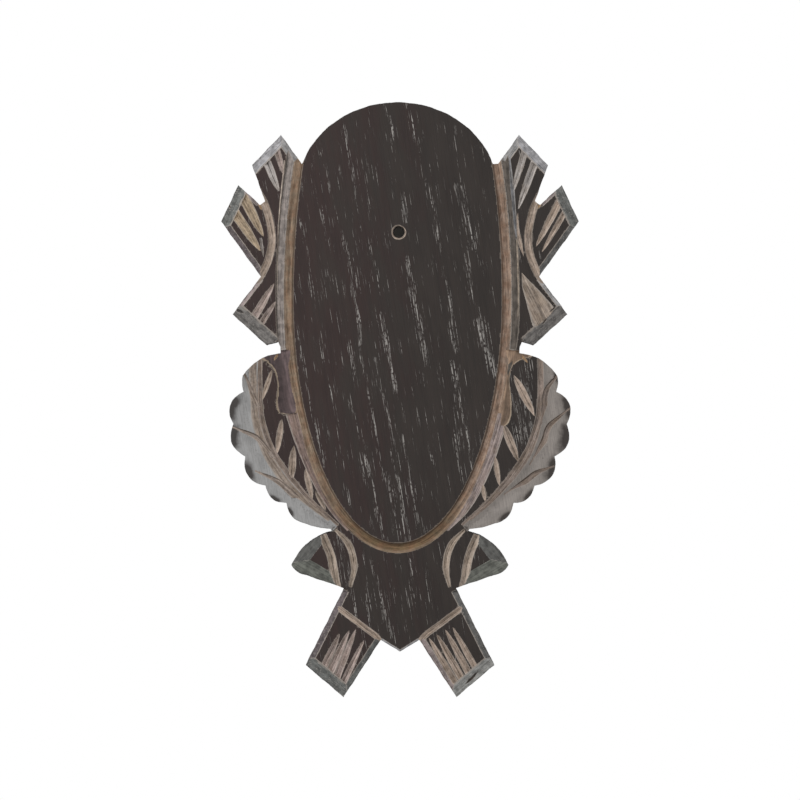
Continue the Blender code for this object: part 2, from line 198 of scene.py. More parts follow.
# Wood fibres of this width and length, drawn out along the grain.
wood_fibres, given, result = effect(
    "wood_fibres", {"Grain": "Vector", "Width": "Float", "Length": "Float"}, {"Fibres": "Float"}
)
size = add(wood_fibres, "CombineXYZ", {0: given["Width"], 1: given["Length"], 2: 1.0}).outputs[0]
fine = mottle(wood_fibres, given["Grain"], size, 3.0, 0.6)
wide = add(wood_fibres, "VectorMath", {0: size, 1: (3.4, 2.2, 1)}, operation="MULTIPLY").outputs[0]
wide = mottle(wood_fibres, given["Grain"], wide)
both = work_out(wood_fibres, "MULTIPLY_ADD", wide, 0.7, work_out(wood_fibres, "MULTIPLY", fine, 0.8))
wood_fibres.links.new(stepped(wood_fibres, both, 0.55, 0.95), result["Fibres"])

# Oak's long open pores, closest together in each ring's early wood. Share says how many of them show.
open_pores, given, result = effect("open_pores", {"Grain": "Vector", "Share": "Float"}, {"Pores": "Float"})
vessels = mottle(open_pores, given["Grain"], (0.00031, 0.0150, 1), 2.0)
rings = work_out(open_pores, "SUBTRACT", mottle(open_pores, given["Grain"], (0.0034, 0.040, 1), 1.0), 0.5)
breaks = mottle(open_pores, given["Grain"], (0.0008, 0.0016, 1), 2.0)
share = work_out(open_pores, "MULTIPLY_ADD", rings, 0.42, given["Share"])
start = add(open_pores, "MapRange", {0: share, 1: 0.0, 2: 1.0, 3: 0.70, 4: 0.44}).outputs[0]
pores = stepped(open_pores, vessels, start, work_out(open_pores, "ADD", start, 0.06))
pores = work_out(open_pores, "MULTIPLY", pores, stepped(open_pores, breaks, 0.38, 0.50))
open_pores.links.new(pores, result["Pores"])

# Soft patches of this size, where the wood took more or less of the stain.
stain_patches, given, result = effect(
    "stain_patches", {"Place": "Vector", "Size": "Float"}, {"Patches": "Float"}
)
patches = mottle(stain_patches, given["Place"], given["Size"], 3.0, 0.55)
stain_patches.links.new(stepped(stain_patches, patches, 0.34, 0.66), result["Patches"])

# Arrises rubbed pale under a painted highlight, and painted shade in the keels. Relief is 1 on a sharp arris,
# and in a keel it is minus the keel's depth below the wood beside it, in millimetres.
edge_wear_and_shading, given, result = effect(
    "edge_wear_and_shading", {"Relief": "Float", "Grain": "Vector"}, {"Arris": "Float", "Keel": "Float"}
)
ragged = work_out(edge_wear_and_shading, "SUBTRACT", mottle(edge_wear_and_shading, given["Grain"], (0.0016, 0.0030, 1), 2.0), 0.5)
height = work_out(edge_wear_and_shading, "MULTIPLY_ADD", ragged, 0.45, given["Relief"])
edge_wear_and_shading.links.new(stepped(edge_wear_and_shading, height, 0.50, 0.80), result["Arris"])
height = work_out(edge_wear_and_shading, "MULTIPLY_ADD", ragged, 0.05, given["Relief"])
edge_wear_and_shading.links.new(stepped(edge_wear_and_shading, height, -0.02, -0.10), result["Keel"])


def use(tree, group, inputs):
    """A shared effect placed in a finish, with that finish's own values."""
    return add(tree, "Group", inputs, node_tree=group).outputs


def kept_on_board(tree, name, output="Vector"):
    """A value or a vector that the carved mesh keeps for its finishes."""
    return add(tree, "Attribute", attribute_name=name).outputs[output]


def board_place(tree):
    """The place on the board, measured from its middle."""
    return add(tree, "TexCoord").outputs["Object"]


def board_axis(tree, number):
    """How far along one axis that place is: 0 across, 1 inward, 2 up."""
    return add(tree, "SeparateXYZ", {0: board_place(tree)}).outputs[number]


def fibres_along(tree, grain, width, length):
    return use(tree, wood_fibres, {"Grain": grain, "Width": width, "Length": length})["Fibres"]


def pores_along(tree, grain, share):
    return use(tree, open_pores, {"Grain": grain, "Share": share})["Pores"]


def patches_at(tree, place, size):
    return use(tree, stain_patches, {"Place": place, "Size": size})["Patches"]


def wear_and_shading_on(tree, grain):
    return use(tree, edge_wear_and_shading, {"Relief": kept_on_board(tree, "relief", "Fac"), "Grain": grain})


finishes = []


def new_finish(name, specular):
    """A new finish's number, its node tree and its shader."""
    material = bpy.data.materials.new(name)
    material.use_nodes = True
    finishes.append(material)
    shader = material.node_tree.nodes["Principled BSDF"]
    shader.inputs["Specular IOR Level"].default_value = specular
    return len(finishes) - 1, material.node_tree, shader


def finish_off(tree, shader, colour, roughness, height, relief):
    """Gives a finish's colour, roughness and fine relief, in metres, to its shader."""
    bump = add(tree, "Bump", {"Height": height, "Distance": relief, "Strength": 1.0})
    tree.links.new(colour, shader.inputs["Base Color"])
    tree.links.new(roughness, shader.inputs["Roughness"])
    tree.links.new(bump.outputs["Normal"], shader.inputs["Normal"])


REDDISH_STAIN = (0.0265, 0.0158, 0.0142, 1)
GREENISH_STAIN = (0.0206, 0.0157, 0.0134, 1)
WORN_ARRIS_HIGHLIGHT = (0.150, 0.125, 0.105, 1)
LIME_WAX = (0.290, 0.272, 0.255, 1)
SAWN_STAIN = (0.052, 0.043, 0.038)
BARE_LATE_WOOD = (0.235, 0.150, 0.082, 1)
BARE_EARLY_WOOD = (0.350, 0.245, 0.145, 1)
HANDLED_PATCH = (0.200, 0.125, 0.070, 1)
DUSTY_PORE = (0.100, 0.060, 0.035, 1)

STAINED, tree, shader = new_finish("stained_oak_face", 0.25)
grain = kept_on_board(tree, "grain")
fibres = fibres_along(tree, grain, 0.00045, 0.012)
stretched = add(tree, "VectorMath", {0: grain, 1: (1, 0.28, 1)}, operation="MULTIPLY").outputs[0]
patches = patches_at(tree, stretched, 0.009)
sideways = work_out(tree, "MULTIPLY_ADD", patches, 0.050, board_axis(tree, 0))
colour = mixed(tree, stepped(tree, sideways, -0.024, 0.040), REDDISH_STAIN, GREENISH_STAIN)
colour = shaded(tree, colour, 0.80, (fibres, 0.30), (patches, 0.26))
pores = pores_along(tree, grain, kept_on_board(tree, "lime", "Fac"))
colour = tinted(tree, colour, LIME_WAX, pores, 0.92)
# Pale arrises where the cuts meet the face: partly rubbed wear, partly a painted highlight.
colour = tinted(tree, colour, WORN_ARRIS_HIGHLIGHT, wear_and_shading_on(tree, grain)["Arris"], 0.75)
roughness = stepped(tree, work_out(tree, "ADD", fibres, pores), 0.0, 1.6, 0.52, 0.78)
height = work_out(tree, "SUBTRACT", fibres, work_out(tree, "MULTIPLY", pores, 1.6))
finish_off(tree, shader, colour, roughness, height, 0.00005)

SAWN, tree, shader = new_finish("sawn_stained_edge", 0.25)
grain = kept_on_board(tree, "grain")
marks = fibres_along(tree, grain, 0.00060, 0.030)
torn = fibres_along(tree, grain, 0.00150, 0.0012)
colour = shaded(tree, SAWN_STAIN, 0.50, (marks, 0.6), (torn, 0.35))
colour = tinted(tree, colour, LIME_WAX, pores_along(tree, grain, 0.35), 0.4)
height = work_out(tree, "ADD", marks, work_out(tree, "MULTIPLY", torn, 0.5))
finish_off(tree, shader, colour, stepped(tree, torn, 0, 1, 0.66, 0.84), height, 0.00012)

BARE, tree, shader = new_finish("bare_oak_back", 0.3)
grain = kept_on_board(tree, "grain")
fibres = fibres_along(tree, grain, 0.00080, 0.035)
patches = patches_at(tree, board_place(tree), 0.035)
colour = mixed(tree, fibres, BARE_LATE_WOOD, BARE_EARLY_WOOD)
colour = tinted(tree, colour, HANDLED_PATCH, patches, 0.35)
pores = pores_along(tree, grain, 0.42)
colour = tinted(tree, colour, DUSTY_PORE, pores, 0.6)
height = work_out(tree, "SUBTRACT", fibres, work_out(tree, "MULTIPLY", pores, 1.5))
finish_off(tree, shader, colour, stepped(tree, patches, 0, 1, 0.60, 0.74), height, 0.00005)


# The rim groove: a round-bottomed gouge cut that frames the plain oval field for the antlers. It starts
# at one notch beside the head and ends at the other, and the bare wood in it has taken an ochre wax.
FIELD_WIDTH = 0.0876
RIM_GROOVE_WIDTH = 0.0042
RIM_GROOVE_DEPTH = 0.0016
FIELD_CENTRE = (-4, 168)
FIELD_REACH_DOWN = 408
FIELD_REACH_UP = 535
GROOVE_TOP = 440
END_STEEPNESS = 5.0
FACE_GRAIN_SLANT = math.radians(9)
TREMOR_WAVE = 0.009
CUT_MARGIN = 0.0005

OCHRE_WAX = (0.196, 0.146, 0.103)
PINKISH_WAX = (0.234, 0.170, 0.131, 1)
YELLOW_WAX = (0.128, 0.088, 0.048, 1)
RUSTY_WAX = (0.160, 0.085, 0.048, 1)
PALE_INNER_SIDE = (0.300, 0.240, 0.190, 1)
DARK_SEAM = (0.050, 0.034, 0.026, 1)
GROOVE_LIP_HIGHLIGHT = (0.230, 0.185, 0.150, 1)

OCHRE, tree, shader = new_finish("ochre_waxed_groove", 0.2)
grain = kept_on_board(tree, "grain")
fibres = fibres_along(tree, grain, 0.00034, 0.0090)
speckles = fibres_along(tree, grain, 0.00060, 0.0012)
patches = patches_at(tree, grain, 0.0040)
place = shifted(tree, kept_on_board(tree, "place", "Fac"), fibres, 0.10)
rightward = stepped(tree, board_axis(tree, 0), 0.010, 0.036)
downward = stepped(tree, board_axis(tree, 2), -0.036, -0.062)
colour = mixed(tree, rightward, kept_on_board(tree, "wood"), PINKISH_WAX)
colour = mixed(tree, downward, colour, YELLOW_WAX)
colour = tinted(tree, colour, RUSTY_WAX, patches, 0.55)
colour = tinted(tree, colour, PALE_INNER_SIDE, stepped(tree, place, -0.35, -0.80), 0.35)
colour = shaded(tree, colour, 0.40, (fibres, 0.85), (speckles, 0.35))
seam = work_out(tree, "MULTIPLY", stepped(tree, place, 0.56, 0.68), stepped(tree, place, 0.90, 0.80))
colour = tinted(tree, colour, DARK_SEAM, seam, 0.6)
# A painted highlight along one lip of the groove.
colour = tinted(tree, colour, GROOVE_LIP_HIGHLIGHT, stepped(tree, place, 0.86, 0.94), 0.7)
finish_off(tree, shader, colour, stepped(tree, fibres, 0, 1, 0.62, 0.80), fibres, 0.00010)

cuts = []


def line_through(places, sizes=(1, 1), step=0.001, tremor=0.00005):
    """A smooth line through these places: its points this far apart, and the tool's size at each."""
    knots = np.array(places, float) * UNIT
    sizes = np.interp(np.linspace(0, 1, len(knots)), np.linspace(0, 1, len(sizes)), sizes)
    before = np.vstack([2 * knots[:1] - knots[1:2], knots[:-1]])
    after = np.vstack([knots[1:], 2 * knots[-1:] - knots[-2:-1]])
    slopes = (after - before) / 2
    points, widths = [], []
    for number in range(len(knots) - 1):
        start, end = knots[number], knots[number + 1]
        steps = max(2, round(float(np.hypot(*(end - start))) / step))
        t = (np.arange(steps) / steps)[:, None]
        points.append(
            start * (2 * t**3 - 3 * t**2 + 1)
            + slopes[number] * (t**3 - 2 * t**2 + t)
            + end * (3 * t**2 - 2 * t**3)
            + slopes[number + 1] * (t**3 - t**2)
        )
        widths.append(sizes[number] + (sizes[number + 1] - sizes[number]) * t[:, 0])
    points = np.vstack([*points, knots[-1:]])
    widths = np.append(np.concatenate(widths), sizes[-1])
    length = np.append(0, np.cumsum(np.hypot(*np.diff(points, axis=0).T)))
    way = np.gradient(points, axis=0)
    right = np.stack([way[:, 1], -way[:, 0]], 1) / np.hypot(*way.T)[:, None]
    points = points + right * (tremor * waver(length, TREMOR_WAVE))[:, None]
    return {"points": points, "right": right, "sizes": widths, "length": length}


def beside(line, spots):
    """How far each spot is to the right of a line and along it, the tool's size there, and how far it is
    inside the line's two ends."""
    nearest = np.full(len(spots), np.inf)
    across, along, size = np.zeros((3, len(spots)))
    points = line["points"]
    last = len(points) - 2
    for number in range(last + 1):
        way = points[number + 1] - points[number]
        length = math.hypot(*way)
        way = way / length
        offset = spots - points[number]
        share = offset @ way
        held = np.clip(share, 0, length)
        away = np.hypot(*(offset - held[:, None] * way).T)
        closer = away < nearest
        right = offset[:, 0] * way[1] - offset[:, 1] * way[0]
        nearest = np.where(closer, away, nearest)
        if number in (0, last):
            away = np.where(closer & ((share < 0) | (share > length)), np.abs(right), away)
        across = np.where(closer, np.sign(right) * away, across)
        along = np.where(closer, line["length"][number] + share, along)
        grown = line["sizes"][number + 1] - line["sizes"][number]
        size = np.where(closer, line["sizes"][number] + grown * held / length, size)
    return across, along, size, np.minimum(along, line["length"][-1] - along)


def carve(line, profile, finish, wood, creases=None, upon=None, within=None, ends=True):
    """Cuts a profile of (to the right, depth) pairs along a line, into wood of this colour. Each crease, a
    place across the profile, becomes an edge of the mesh. What is cut upon another surface starts from it."""
    profile = np.array(profile)
    creases = profile[:, 0] if creases is None else creases
    reach = np.abs(profile[:, 0]).max() * max(line["sizes"].max(), 0.1) + CUT_MARGIN

    def shape(spots):
        across, along, size, inside = beside(line, spots)
        size = np.maximum(size, 1e-3)
        place = across / size
        depth = np.interp(place, profile[:, 0], profile[:, 1]) * size
        within_profile = (place >= profile[0, 0]) & (place <= profile[-1, 0])
        if upon is not None:
            depth = depth + upon(spots)
        if within is not None:
            depth = np.minimum(depth, END_STEEPNESS * within(spots))
        if ends:
            depth = np.minimum(depth, END_STEEPNESS * inside)
        depth = np.where(within_profile, depth, -1.0)
        place = np.where(place > 0, place / profile[-1, 0], place / max(-profile[0, 0], 1e-6))
        return depth, along, across, np.clip(place, -1, 1)

    edges = [line["points"] + line["right"] * (line["sizes"] * crease)[:, None] for crease in creases]
    if ends:
        for end in (0, -1):
            spread = np.linspace(profile[0, 0], profile[-1, 0], 12) * line["sizes"][end]
            edges.append(line["points"][end] + line["right"][end] * spread[:, None])
    low, high = line["points"].min(0) - reach, line["points"].max(0) + reach
    cuts.append({"shape": shape, "low": low, "high": high, "edges": edges, "finish": finish, "wood": wood})


def deepest(spots, carved=cuts):
    """The depth at each spot, and the number of the cut that reaches it."""
    depth = np.zeros(len(spots))
    owner = np.full(len(spots), -1)
    for number, cut in enumerate(carved):
        near = np.flatnonzero(((spots > cut["low"]) & (spots < cut["high"])).all(1))
        if len(near):
            here = cut["shape"](spots[near])[0]
            deeper = here > depth[near]
            depth[near[deeper]] = here[deeper]
            owner[near[deeper]] = number
    return depth, owner


def gouge(width, depth, steps=12):
    """A gouge's round-bottomed section, as (to the right, depth) pairs."""
    turns = [math.pi * step / steps for step in range(steps + 1)]
    return [(-math.cos(turn) * width / 2, math.sin(turn) * depth) for turn in turns]


def field_edge(angle, outward):
    """A place this far outside the oval field's edge, in thousandths of the board's height."""
    reach = FIELD_REACH_UP if math.sin(angle) > 0 else FIELD_REACH_DOWN
    half_width = FIELD_WIDTH / 2 / UNIT
    edge = np.array([half_width * math.cos(angle), reach * math.sin(angle)])
    away = np.array([reach * math.cos(angle), half_width * math.sin(angle)])
    return np.array(FIELD_CENTRE) + edge + away / np.hypot(*away) * outward / UNIT


def beside_field(outward, ups):
    """The right half's line this far outside the field, at these heights up the board."""
    places = []
    for up in ups:
        rise = up - FIELD_CENTRE[1]
        reach = FIELD_REACH_UP if rise > 0 else FIELD_REACH_DOWN
        places.append(field_edge(math.asin(rise / reach), outward))
    return np.array(places)


def on_side(side, places):
    """The right half's places on the side asked for, still anticlockwise."""
    places = np.array(places, float)
    return places if side > 0 else places[::-1] * (-1, 1)


def mirrored(side, places):
    """The right half's places beside the field on the side asked for, mirrored across its middle."""
    return places if side > 0 else places[::-1] * (-1, 1) + (2 * FIELD_CENTRE[0], 0)


middle_of_groove = RIM_GROOVE_WIDTH / 2
rising = beside_field(middle_of_groove, np.linspace(FIELD_CENTRE[1], GROOVE_TOP, 24))
below = [field_edge(-math.pi * step / 48, middle_of_groove) for step in range(1, 48)]
groove = line_through([*rising[::-1], *below, *mirrored(-1, rising)[::-1]], step=0.0015)
groove_lips = (-middle_of_groove, middle_of_groove)
carve(groove, gouge(RIM_GROOVE_WIDTH, RIM_GROOVE_DEPTH), OCHRE, OCHRE_WAX, groove_lips)


# Ribbon, flute and leaf border: outside the groove a strip falls away to a short wall, turns into a
# round-ended flute where the stubs end, and below that a slope joins the field's frame to the leaf.
RIBBON_WIDTH = 0.0030
RIBBON_DROP = 0.0013
FLUTE_WIDTH = 0.0072
FLUTE_DEPTH = 0.0015
LEAF_BORDER_WIDTH = 0.0040
LEAF_BORDER_DROP = 0.0012
RIBBON_FOOT = 40
RIBBON_TOP = 432
RIBBON_TAPER = (0.15, 0.8, 1, 1, 1, 1, 1, 1, 1, 1, 1)
LEAF_BORDER_FOOT = -206
LEAF_BORDER_TOP = -18
LEFT_BORDER = (0.20, 0.36, 0.5, 0.66, 0.83, 1.0)
RIGHT_BORDER = (0.20, 0.66, 0.74, 0.80, 0.85, 0.90)
# The flute's size at heights up the board, from its foot to its top.
LEFT_FLUTE = (
    (-19, 0.10),
    (-17, 0.50),
    (-13, 0.90),
    (-5, 1.00),
    (5, 0.97),
    (17, 0.83),
    (28, 0.70),
    (42, 0.70),
    (55, 0.78),
    (65, 1.00),
    (70, 1.25),
    (78, 1.60),
    (86, 1.90),
)
RIGHT_FLUTE = (
    (-40, 0.10),
    (-37, 0.42),
    (-30, 0.62),
    (-18, 0.65),
    (3, 0.52),
    (22, 0.30),
    (37, 0.17),
    (52, 0.17),
    (61, 0.26),
    (70, 0.62),
    (76, 1.05),
    (86, 1.6),
)

LAVENDER_LIME = (0.200, 0.174, 0.160)
SHADED_SLATE_LIME = (0.086, 0.073, 0.062)
PLUM_SHADE = (0.060, 0.043, 0.043)
PLUM_FIBRES = (0.180, 0.132, 0.118)
PINK_LIME = (0.224, 0.182, 0.173)
OLIVE_WAX = (0.130, 0.089, 0.062)
EMPTY_PORE = (0.060, 0.055, 0.050, 1)
PARED_LIP_HIGHLIGHT = (0.330, 0.285, 0.245, 1)
RUBBED_ARRIS_HIGHLIGHT = (0.330, 0.300, 0.275, 1)
KEEL_SHADE = (0.055, 0.045, 0.040, 1)
OCHRE_PATCH = (0.155, 0.105, 0.062, 1)
TORN_KEEL_SHADE = (0.060, 0.050, 0.045, 1)
TORN_LIP_HIGHLIGHT = (0.330, 0.295, 0.265, 1)
FLUTE_LIP_HIGHLIGHT = (0.340, 0.270, 0.200, 1)

PARED, tree, shader = new_finish("pared_limed_oak", 0.25)
grain = kept_on_board(tree, "grain")
fibres = fibres_along(tree, grain, 0.00050, 0.0080)
patches = patches_at(tree, grain, 0.0024)
colour = shaded(tree, kept_on_board(tree, "wood"), 0.50, (fibres, 0.50), (patches, 0.55))
pores = pores_along(tree, grain, 0.42)
colour = tinted(tree, colour, EMPTY_PORE, pores, 0.6)
place = work_out(tree, "ABSOLUTE", kept_on_board(tree, "place", "Fac"))
place = shifted(tree, place, patches, 0.08)
# A painted highlight along both edges of the flat.
colour = tinted(tree, colour, PARED_LIP_HIGHLIGHT, stepped(tree, place, 0.84, 0.92), 0.65)
worn_and_shaded = wear_and_shading_on(tree, grain)
# Arrises rubbed pale under a painted highlight.
colour = tinted(tree, colour, RUBBED_ARRIS_HIGHLIGHT, worn_and_shaded["Arris"], 0.55)
# Painted shade in the keels.
colour = tinted(tree, colour, KEEL_SHADE, worn_and_shaded["Keel"], 0.5)
height = work_out(tree, "SUBTRACT", fibres, work_out(tree, "MULTIPLY", pores, 1.4))
finish_off(tree, shader, colour, stepped(tree, patches, 0, 1, 0.58, 0.76), height, 0.00007)

TORN, tree, shader = new_finish("torn_limed_fibres", 0.2)
grain = kept_on_board(tree, "grain")
fibres = fibres_along(tree, grain, 0.00030, 0.0070)
crumbs = fibres_along(tree, grain, 0.00055, 0.0011)
patches = patches_at(tree, grain, 0.0038)
colour = shaded(tree, kept_on_board(tree, "wood"), 0.34, (fibres, 0.95), (crumbs, 0.40))
colour = tinted(tree, colour, OCHRE_PATCH, patches, 0.28)
place = work_out(tree, "ABSOLUTE", kept_on_board(tree, "place", "Fac"))
place = shifted(tree, place, crumbs, 0.07)
# Painted shade down the keel in the middle of each cut.
colour = tinted(tree, colour, TORN_KEEL_SHADE, stepped(tree, place, 0.16, 0.03), 0.45)
# A painted highlight along each cut's lips.
colour = tinted(tree, colour, TORN_LIP_HIGHLIGHT, stepped(tree, place, 0.78, 0.92), 0.60)
height = work_out(tree, "MULTIPLY_ADD", crumbs, 0.7, fibres)
finish_off(tree, shader, colour, stepped(tree, fibres, 0, 1, 0.66, 0.84), height, 0.00010)

FLUTED, tree, shader = new_finish("fluted_stained_oak", 0.25)
grain = kept_on_board(tree, "grain")
fibres = fibres_along(tree, grain, 0.00050, 0.0070)
patches = patches_at(tree, grain, 0.0030)
place = shifted(tree, kept_on_board(tree, "place", "Fac"), patches, 0.05)
colour = shaded(tree, kept_on_board(tree, "wood"), 0.52, (fibres, 0.60), (patches, 0.35))
colour = shaded(tree, colour, 0.0, (stepped(tree, place, 0.34, 0.12, 1.0, 1.9), 1.0))
# A painted highlight along the flute's outer lip.
colour = tinted(tree, colour, FLUTE_LIP_HIGHLIGHT, stepped(tree, place, 0.87, 0.92), 0.85)
finish_off(tree, shader, colour, stepped(tree, fibres, 0, 1, 0.62, 0.80), fibres, 0.00008)


def flute_floor(spots):
    """Holds the flute to one depth, so that it widens at its top without going deeper."""
    return np.full(len(spots), 1.05 * FLUTE_DEPTH / END_STEEPNESS)


inside_groove = RIM_GROOVE_WIDTH / 4
ribbon_slope = RIBBON_DROP / RIBBON_WIDTH
border_slope = LEAF_BORDER_DROP / LEAF_BORDER_WIDTH
ribbon_profile = (
    (-inside_groove, inside_groove * ribbon_slope),
    (RIBBON_WIDTH, RIBBON_DROP),
    (RIBBON_WIDTH + RIBBON_DROP / 6, 0),
)
border_profile = ((-inside_groove, LEAF_BORDER_DROP + inside_groove * border_slope), (LEAF_BORDER_WIDTH, 0))
flute_profile = [(-inside_groove, FLUTE_DEPTH * math.sin(math.pi / 3))]
for turn in np.linspace(math.pi / 3, math.pi, 9):
    flute_profile.append((FLUTE_WIDTH / 2 * (1 - math.cos(turn)), FLUTE_DEPTH * math.sin(turn)))
flute_creases = (0, FLUTE_WIDTH)
# The right ribbon's limed wood is a darker copy of the left's: painted shade on the side turned from the
# window.
for side, flute, border_sizes, ribbon_wood, flute_wood, border_wood in (
    (-1, LEFT_FLUTE, LEFT_BORDER, LAVENDER_LIME, PLUM_SHADE, PLUM_FIBRES),
    (1, RIGHT_FLUTE, RIGHT_BORDER, SHADED_SLATE_LIME, OLIVE_WAX, PINK_LIME),
):
    ups = np.linspace(RIBBON_FOOT, RIBBON_TOP, 24)
    strip = mirrored(side, beside_field(RIM_GROOVE_WIDTH, ups))
    carve(line_through(strip, RIBBON_TAPER[::side]), ribbon_profile, PARED, ribbon_wood)
    path = mirrored(side, beside_field(RIM_GROOVE_WIDTH, [up for up, size in flute]))
    path = line_through(path, [size for up, size in flute][::side], step=0.0006)
    carve(path, flute_profile, FLUTED, flute_wood, flute_creases, within=flute_floor)
    ups = np.linspace(LEAF_BORDER_FOOT, LEAF_BORDER_TOP, 13)
    border = mirrored(side, beside_field(RIM_GROOVE_WIDTH, ups))
    carve(line_through(border, border_sizes[::side]), border_profile, TORN, border_wood)


# Branch stubs: four short limbs a side, each sawn off square and then pared down at its end and along its
# free edges with a flat chisel. A gouged arc parts the two upper limbs from the ribbon behind them.
END_CUT_WIDTH = 0.0040
MIDDLE_END_CUT_WIDTH = 0.0047
SIDE_END_CUT_WIDTH = 0.0059
LOWER_END_CUT_WIDTH = 0.0053
END_CUT_SLOPE = 0.80
SIDE_CUT_WIDTH = 0.0025
INNER_CUT_WIDTH = 0.0032
THIN_CUT_WIDTH = 0.0013
SLIM_CUT_WIDTH = 0.0018
TAIL_CUT_WIDTH = 0.0009
SIDE_CUT_SLOPE = 0.70
PAST_THE_EDGE = 0.0020
SHORT_OF_THE_ROOT = -0.0005
CHISEL_TREMOR = 0.00004
ARC_GROOVE_WIDTH = 0.0032
ARC_GROOVE_DEPTH = 0.0013
ARC_GROOVE = ((250, 196), (236, 205), (221, 235), (215, 265), (217, 292), (226, 326), (240, 352))

PALE_LIME = (0.272, 0.267, 0.276)
GREEN_LIME = (0.118, 0.121, 0.115)
GREY_LIME = (0.157, 0.147, 0.139)
BROWN_LIME = (0.262, 0.262, 0.250)
SOFT_LIME = (0.235, 0.230, 0.228)
ROSE_LIME = (0.210, 0.172, 0.165)
DARK_BEVEL = (0.104, 0.102, 0.098)
BEVEL_LIME = (0.106, 0.088, 0.090)
TORN_BEIGE = (0.335, 0.270, 0.224)
TORN_GREY = (0.330, 0.305, 0.290)
TORN_OCHRE = (0.360, 0.285, 0.205)
TORN_PINK = (0.318, 0.258, 0.236)


def lengthened(side, edge, before, after):
    """The right half's edge on the side asked for, made longer by these lengths before and after it."""
    ends = on_side(side, edge) * UNIT
    way = (ends[1] - ends[0]) / np.hypot(*(ends[1] - ends[0]))
    first, last = (before, after) if side > 0 else (after, before)
    return np.array([ends[0] - way * first, ends[1] + way * last]) / UNIT


def pare(side, edge, width, slope, before, after, wood):
    """A flat along one edge of the outline, this wide on the face and falling to the edge at this slope."""
    profile = ((-width, 0), (PAST_THE_EDGE, (width + PAST_THE_EDGE) * slope))
    edge = line_through(lengthened(side, edge, before, after), tremor=CHISEL_TREMOR)
    carve(edge, profile, PARED, wood, (-width,))


past, short = PAST_THE_EDGE, SHORT_OF_THE_ROOT
END_FLATS = (
    (UPPER_STUB, END_CUT_WIDTH),
    (MIDDLE_STUB, MIDDLE_END_CUT_WIDTH),
    (SIDE_STUB, SIDE_END_CUT_WIDTH),
    (LOWER_STUB, LOWER_END_CUT_WIDTH),
)
# Each stub's end flats, left and right. The lower stub's left flat has painted shade and its right one
# painted light, evening out the window's light from the left.
END_WOODS = (
    (PALE_LIME, PALE_LIME),
    (GREEN_LIME, GREEN_LIME),
    (GREY_LIME, GREY_LIME),
    (GREEN_LIME, BROWN_LIME),
)
for (stub, width), (left_wood, right_wood) in zip(END_FLATS, END_WOODS):
    pare(-1, stub[1:3], width, END_CUT_SLOPE, past, past, left_wood)
    pare(1, stub[1:3], width, END_CUT_SLOPE, past, past, right_wood)
for edge, width, before, after, left_wood, right_wood in (
    (UPPER_STUB[2:], INNER_CUT_WIDTH, past, short, SOFT_LIME, SOFT_LIME),
    (MIDDLE_STUB[:2], SIDE_CUT_WIDTH, short, past, BEVEL_LIME, DARK_BEVEL),
    (MIDDLE_STUB[2:], THIN_CUT_WIDTH, past, short, ROSE_LIME, ROSE_LIME),
    (SIDE_STUB[2:], SLIM_CUT_WIDTH, past, short, ROSE_LIME, SOFT_LIME),
    (LOWER_STUB[:2], SIDE_CUT_WIDTH, short, past, GREEN_LIME, ROSE_LIME),
    (LOWER_STUB[2:], SIDE_CUT_WIDTH, past, short, BEVEL_LIME, DARK_BEVEL),
    ((TAIL_POINT, LOWER_STUB[0]), TAIL_CUT_WIDTH, past, 0, PALE_LIME, PALE_LIME),
):
    pare(-1, edge, width, SIDE_CUT_SLOPE, before, after, left_wood)
    pare(1, edge, width, SIDE_CUT_SLOPE, before, after, right_wood)
for side in (-1, 1):
    arc = line_through(on_side(side, ARC_GROOVE))
    lips = (-ARC_GROOVE_WIDTH / 2, ARC_GROOVE_WIDTH / 2)
    carve(arc, gouge(ARC_GROOVE_WIDTH, ARC_GROOVE_DEPTH), TORN, TORN_BEIGE, lips)


# Leaves: one oak leaf a side. A V cut makes the midrib, the outer half is hollowed to the lobes' tips with
# a wide gouge, a step marks each outer vein, and the inner half stays flat and stained with lens-shaped cuts.
MIDRIB_WIDTH = 0.0024
MIDRIB_DEPTH = 0.0010
LEAF_EDGE_DEPTH = 0.0005
LEAF_TROUGH_WIDTH = 0.0086
LEAF_TROUGH_DEPTH = 0.0016
VEIN_WIDTH = 0.0024
VEIN_DEPTH = 0.00065
VEIN_STEP_WIDTH = 0.0004
LOBE_DEPTH = 0.00006
SHAVING = 0.00002
TORN_BAND_WIDTH = 0.0034
TORN_BAND_KEEL = 0.0008
TORN_BAND_DEPTH = 0.0002
LEAF_FOOT = (104, -210)
LOBE_REACH = 0.0155
CUT_STEEPNESS = 0.40
MIDRIB = ((116, -199), (147, -171), (172, -144), (192, -119), (215, -82), (230, -39), (235, 0), (235, 76))
MIDRIB_SIZES = (0.5, 0.5, 0.7, 0.9, 1, 1, 1, 1, 0.75)
LEFT_BAND = (0.5, 0.8, 1.3, 1.4, 1.35, 1.3, 1.2, 1.5)
RIGHT_BAND = (0.45, 0.5, 0.6, 0.7, 0.75, 0.6, 0.5, 0.4)
LENS_SIZES = (0, 0.7, 0.95, 1, 0.9, 0.6, 0)
LENSES = {
    -1: (
        ((-214, 52), (-233, -4), 0.0020),
        ((-198, -31), (-207, -92), 0.0026),
        ((-178, -76), (-184, -144), 0.0032),
        ((-159, -115), (-147, -168), 0.0026),
        ((-142, -152), (-124, -186), 0.0020),
    ),
    1: (
        ((191, 42), (226, -27), 0.0034),
        ((172, -38), (199, -104), 0.0034),
        ((159, -93), (167, -145), 0.0022),
        ((138, -140), (143, -170), 0.0019),
    ),
}
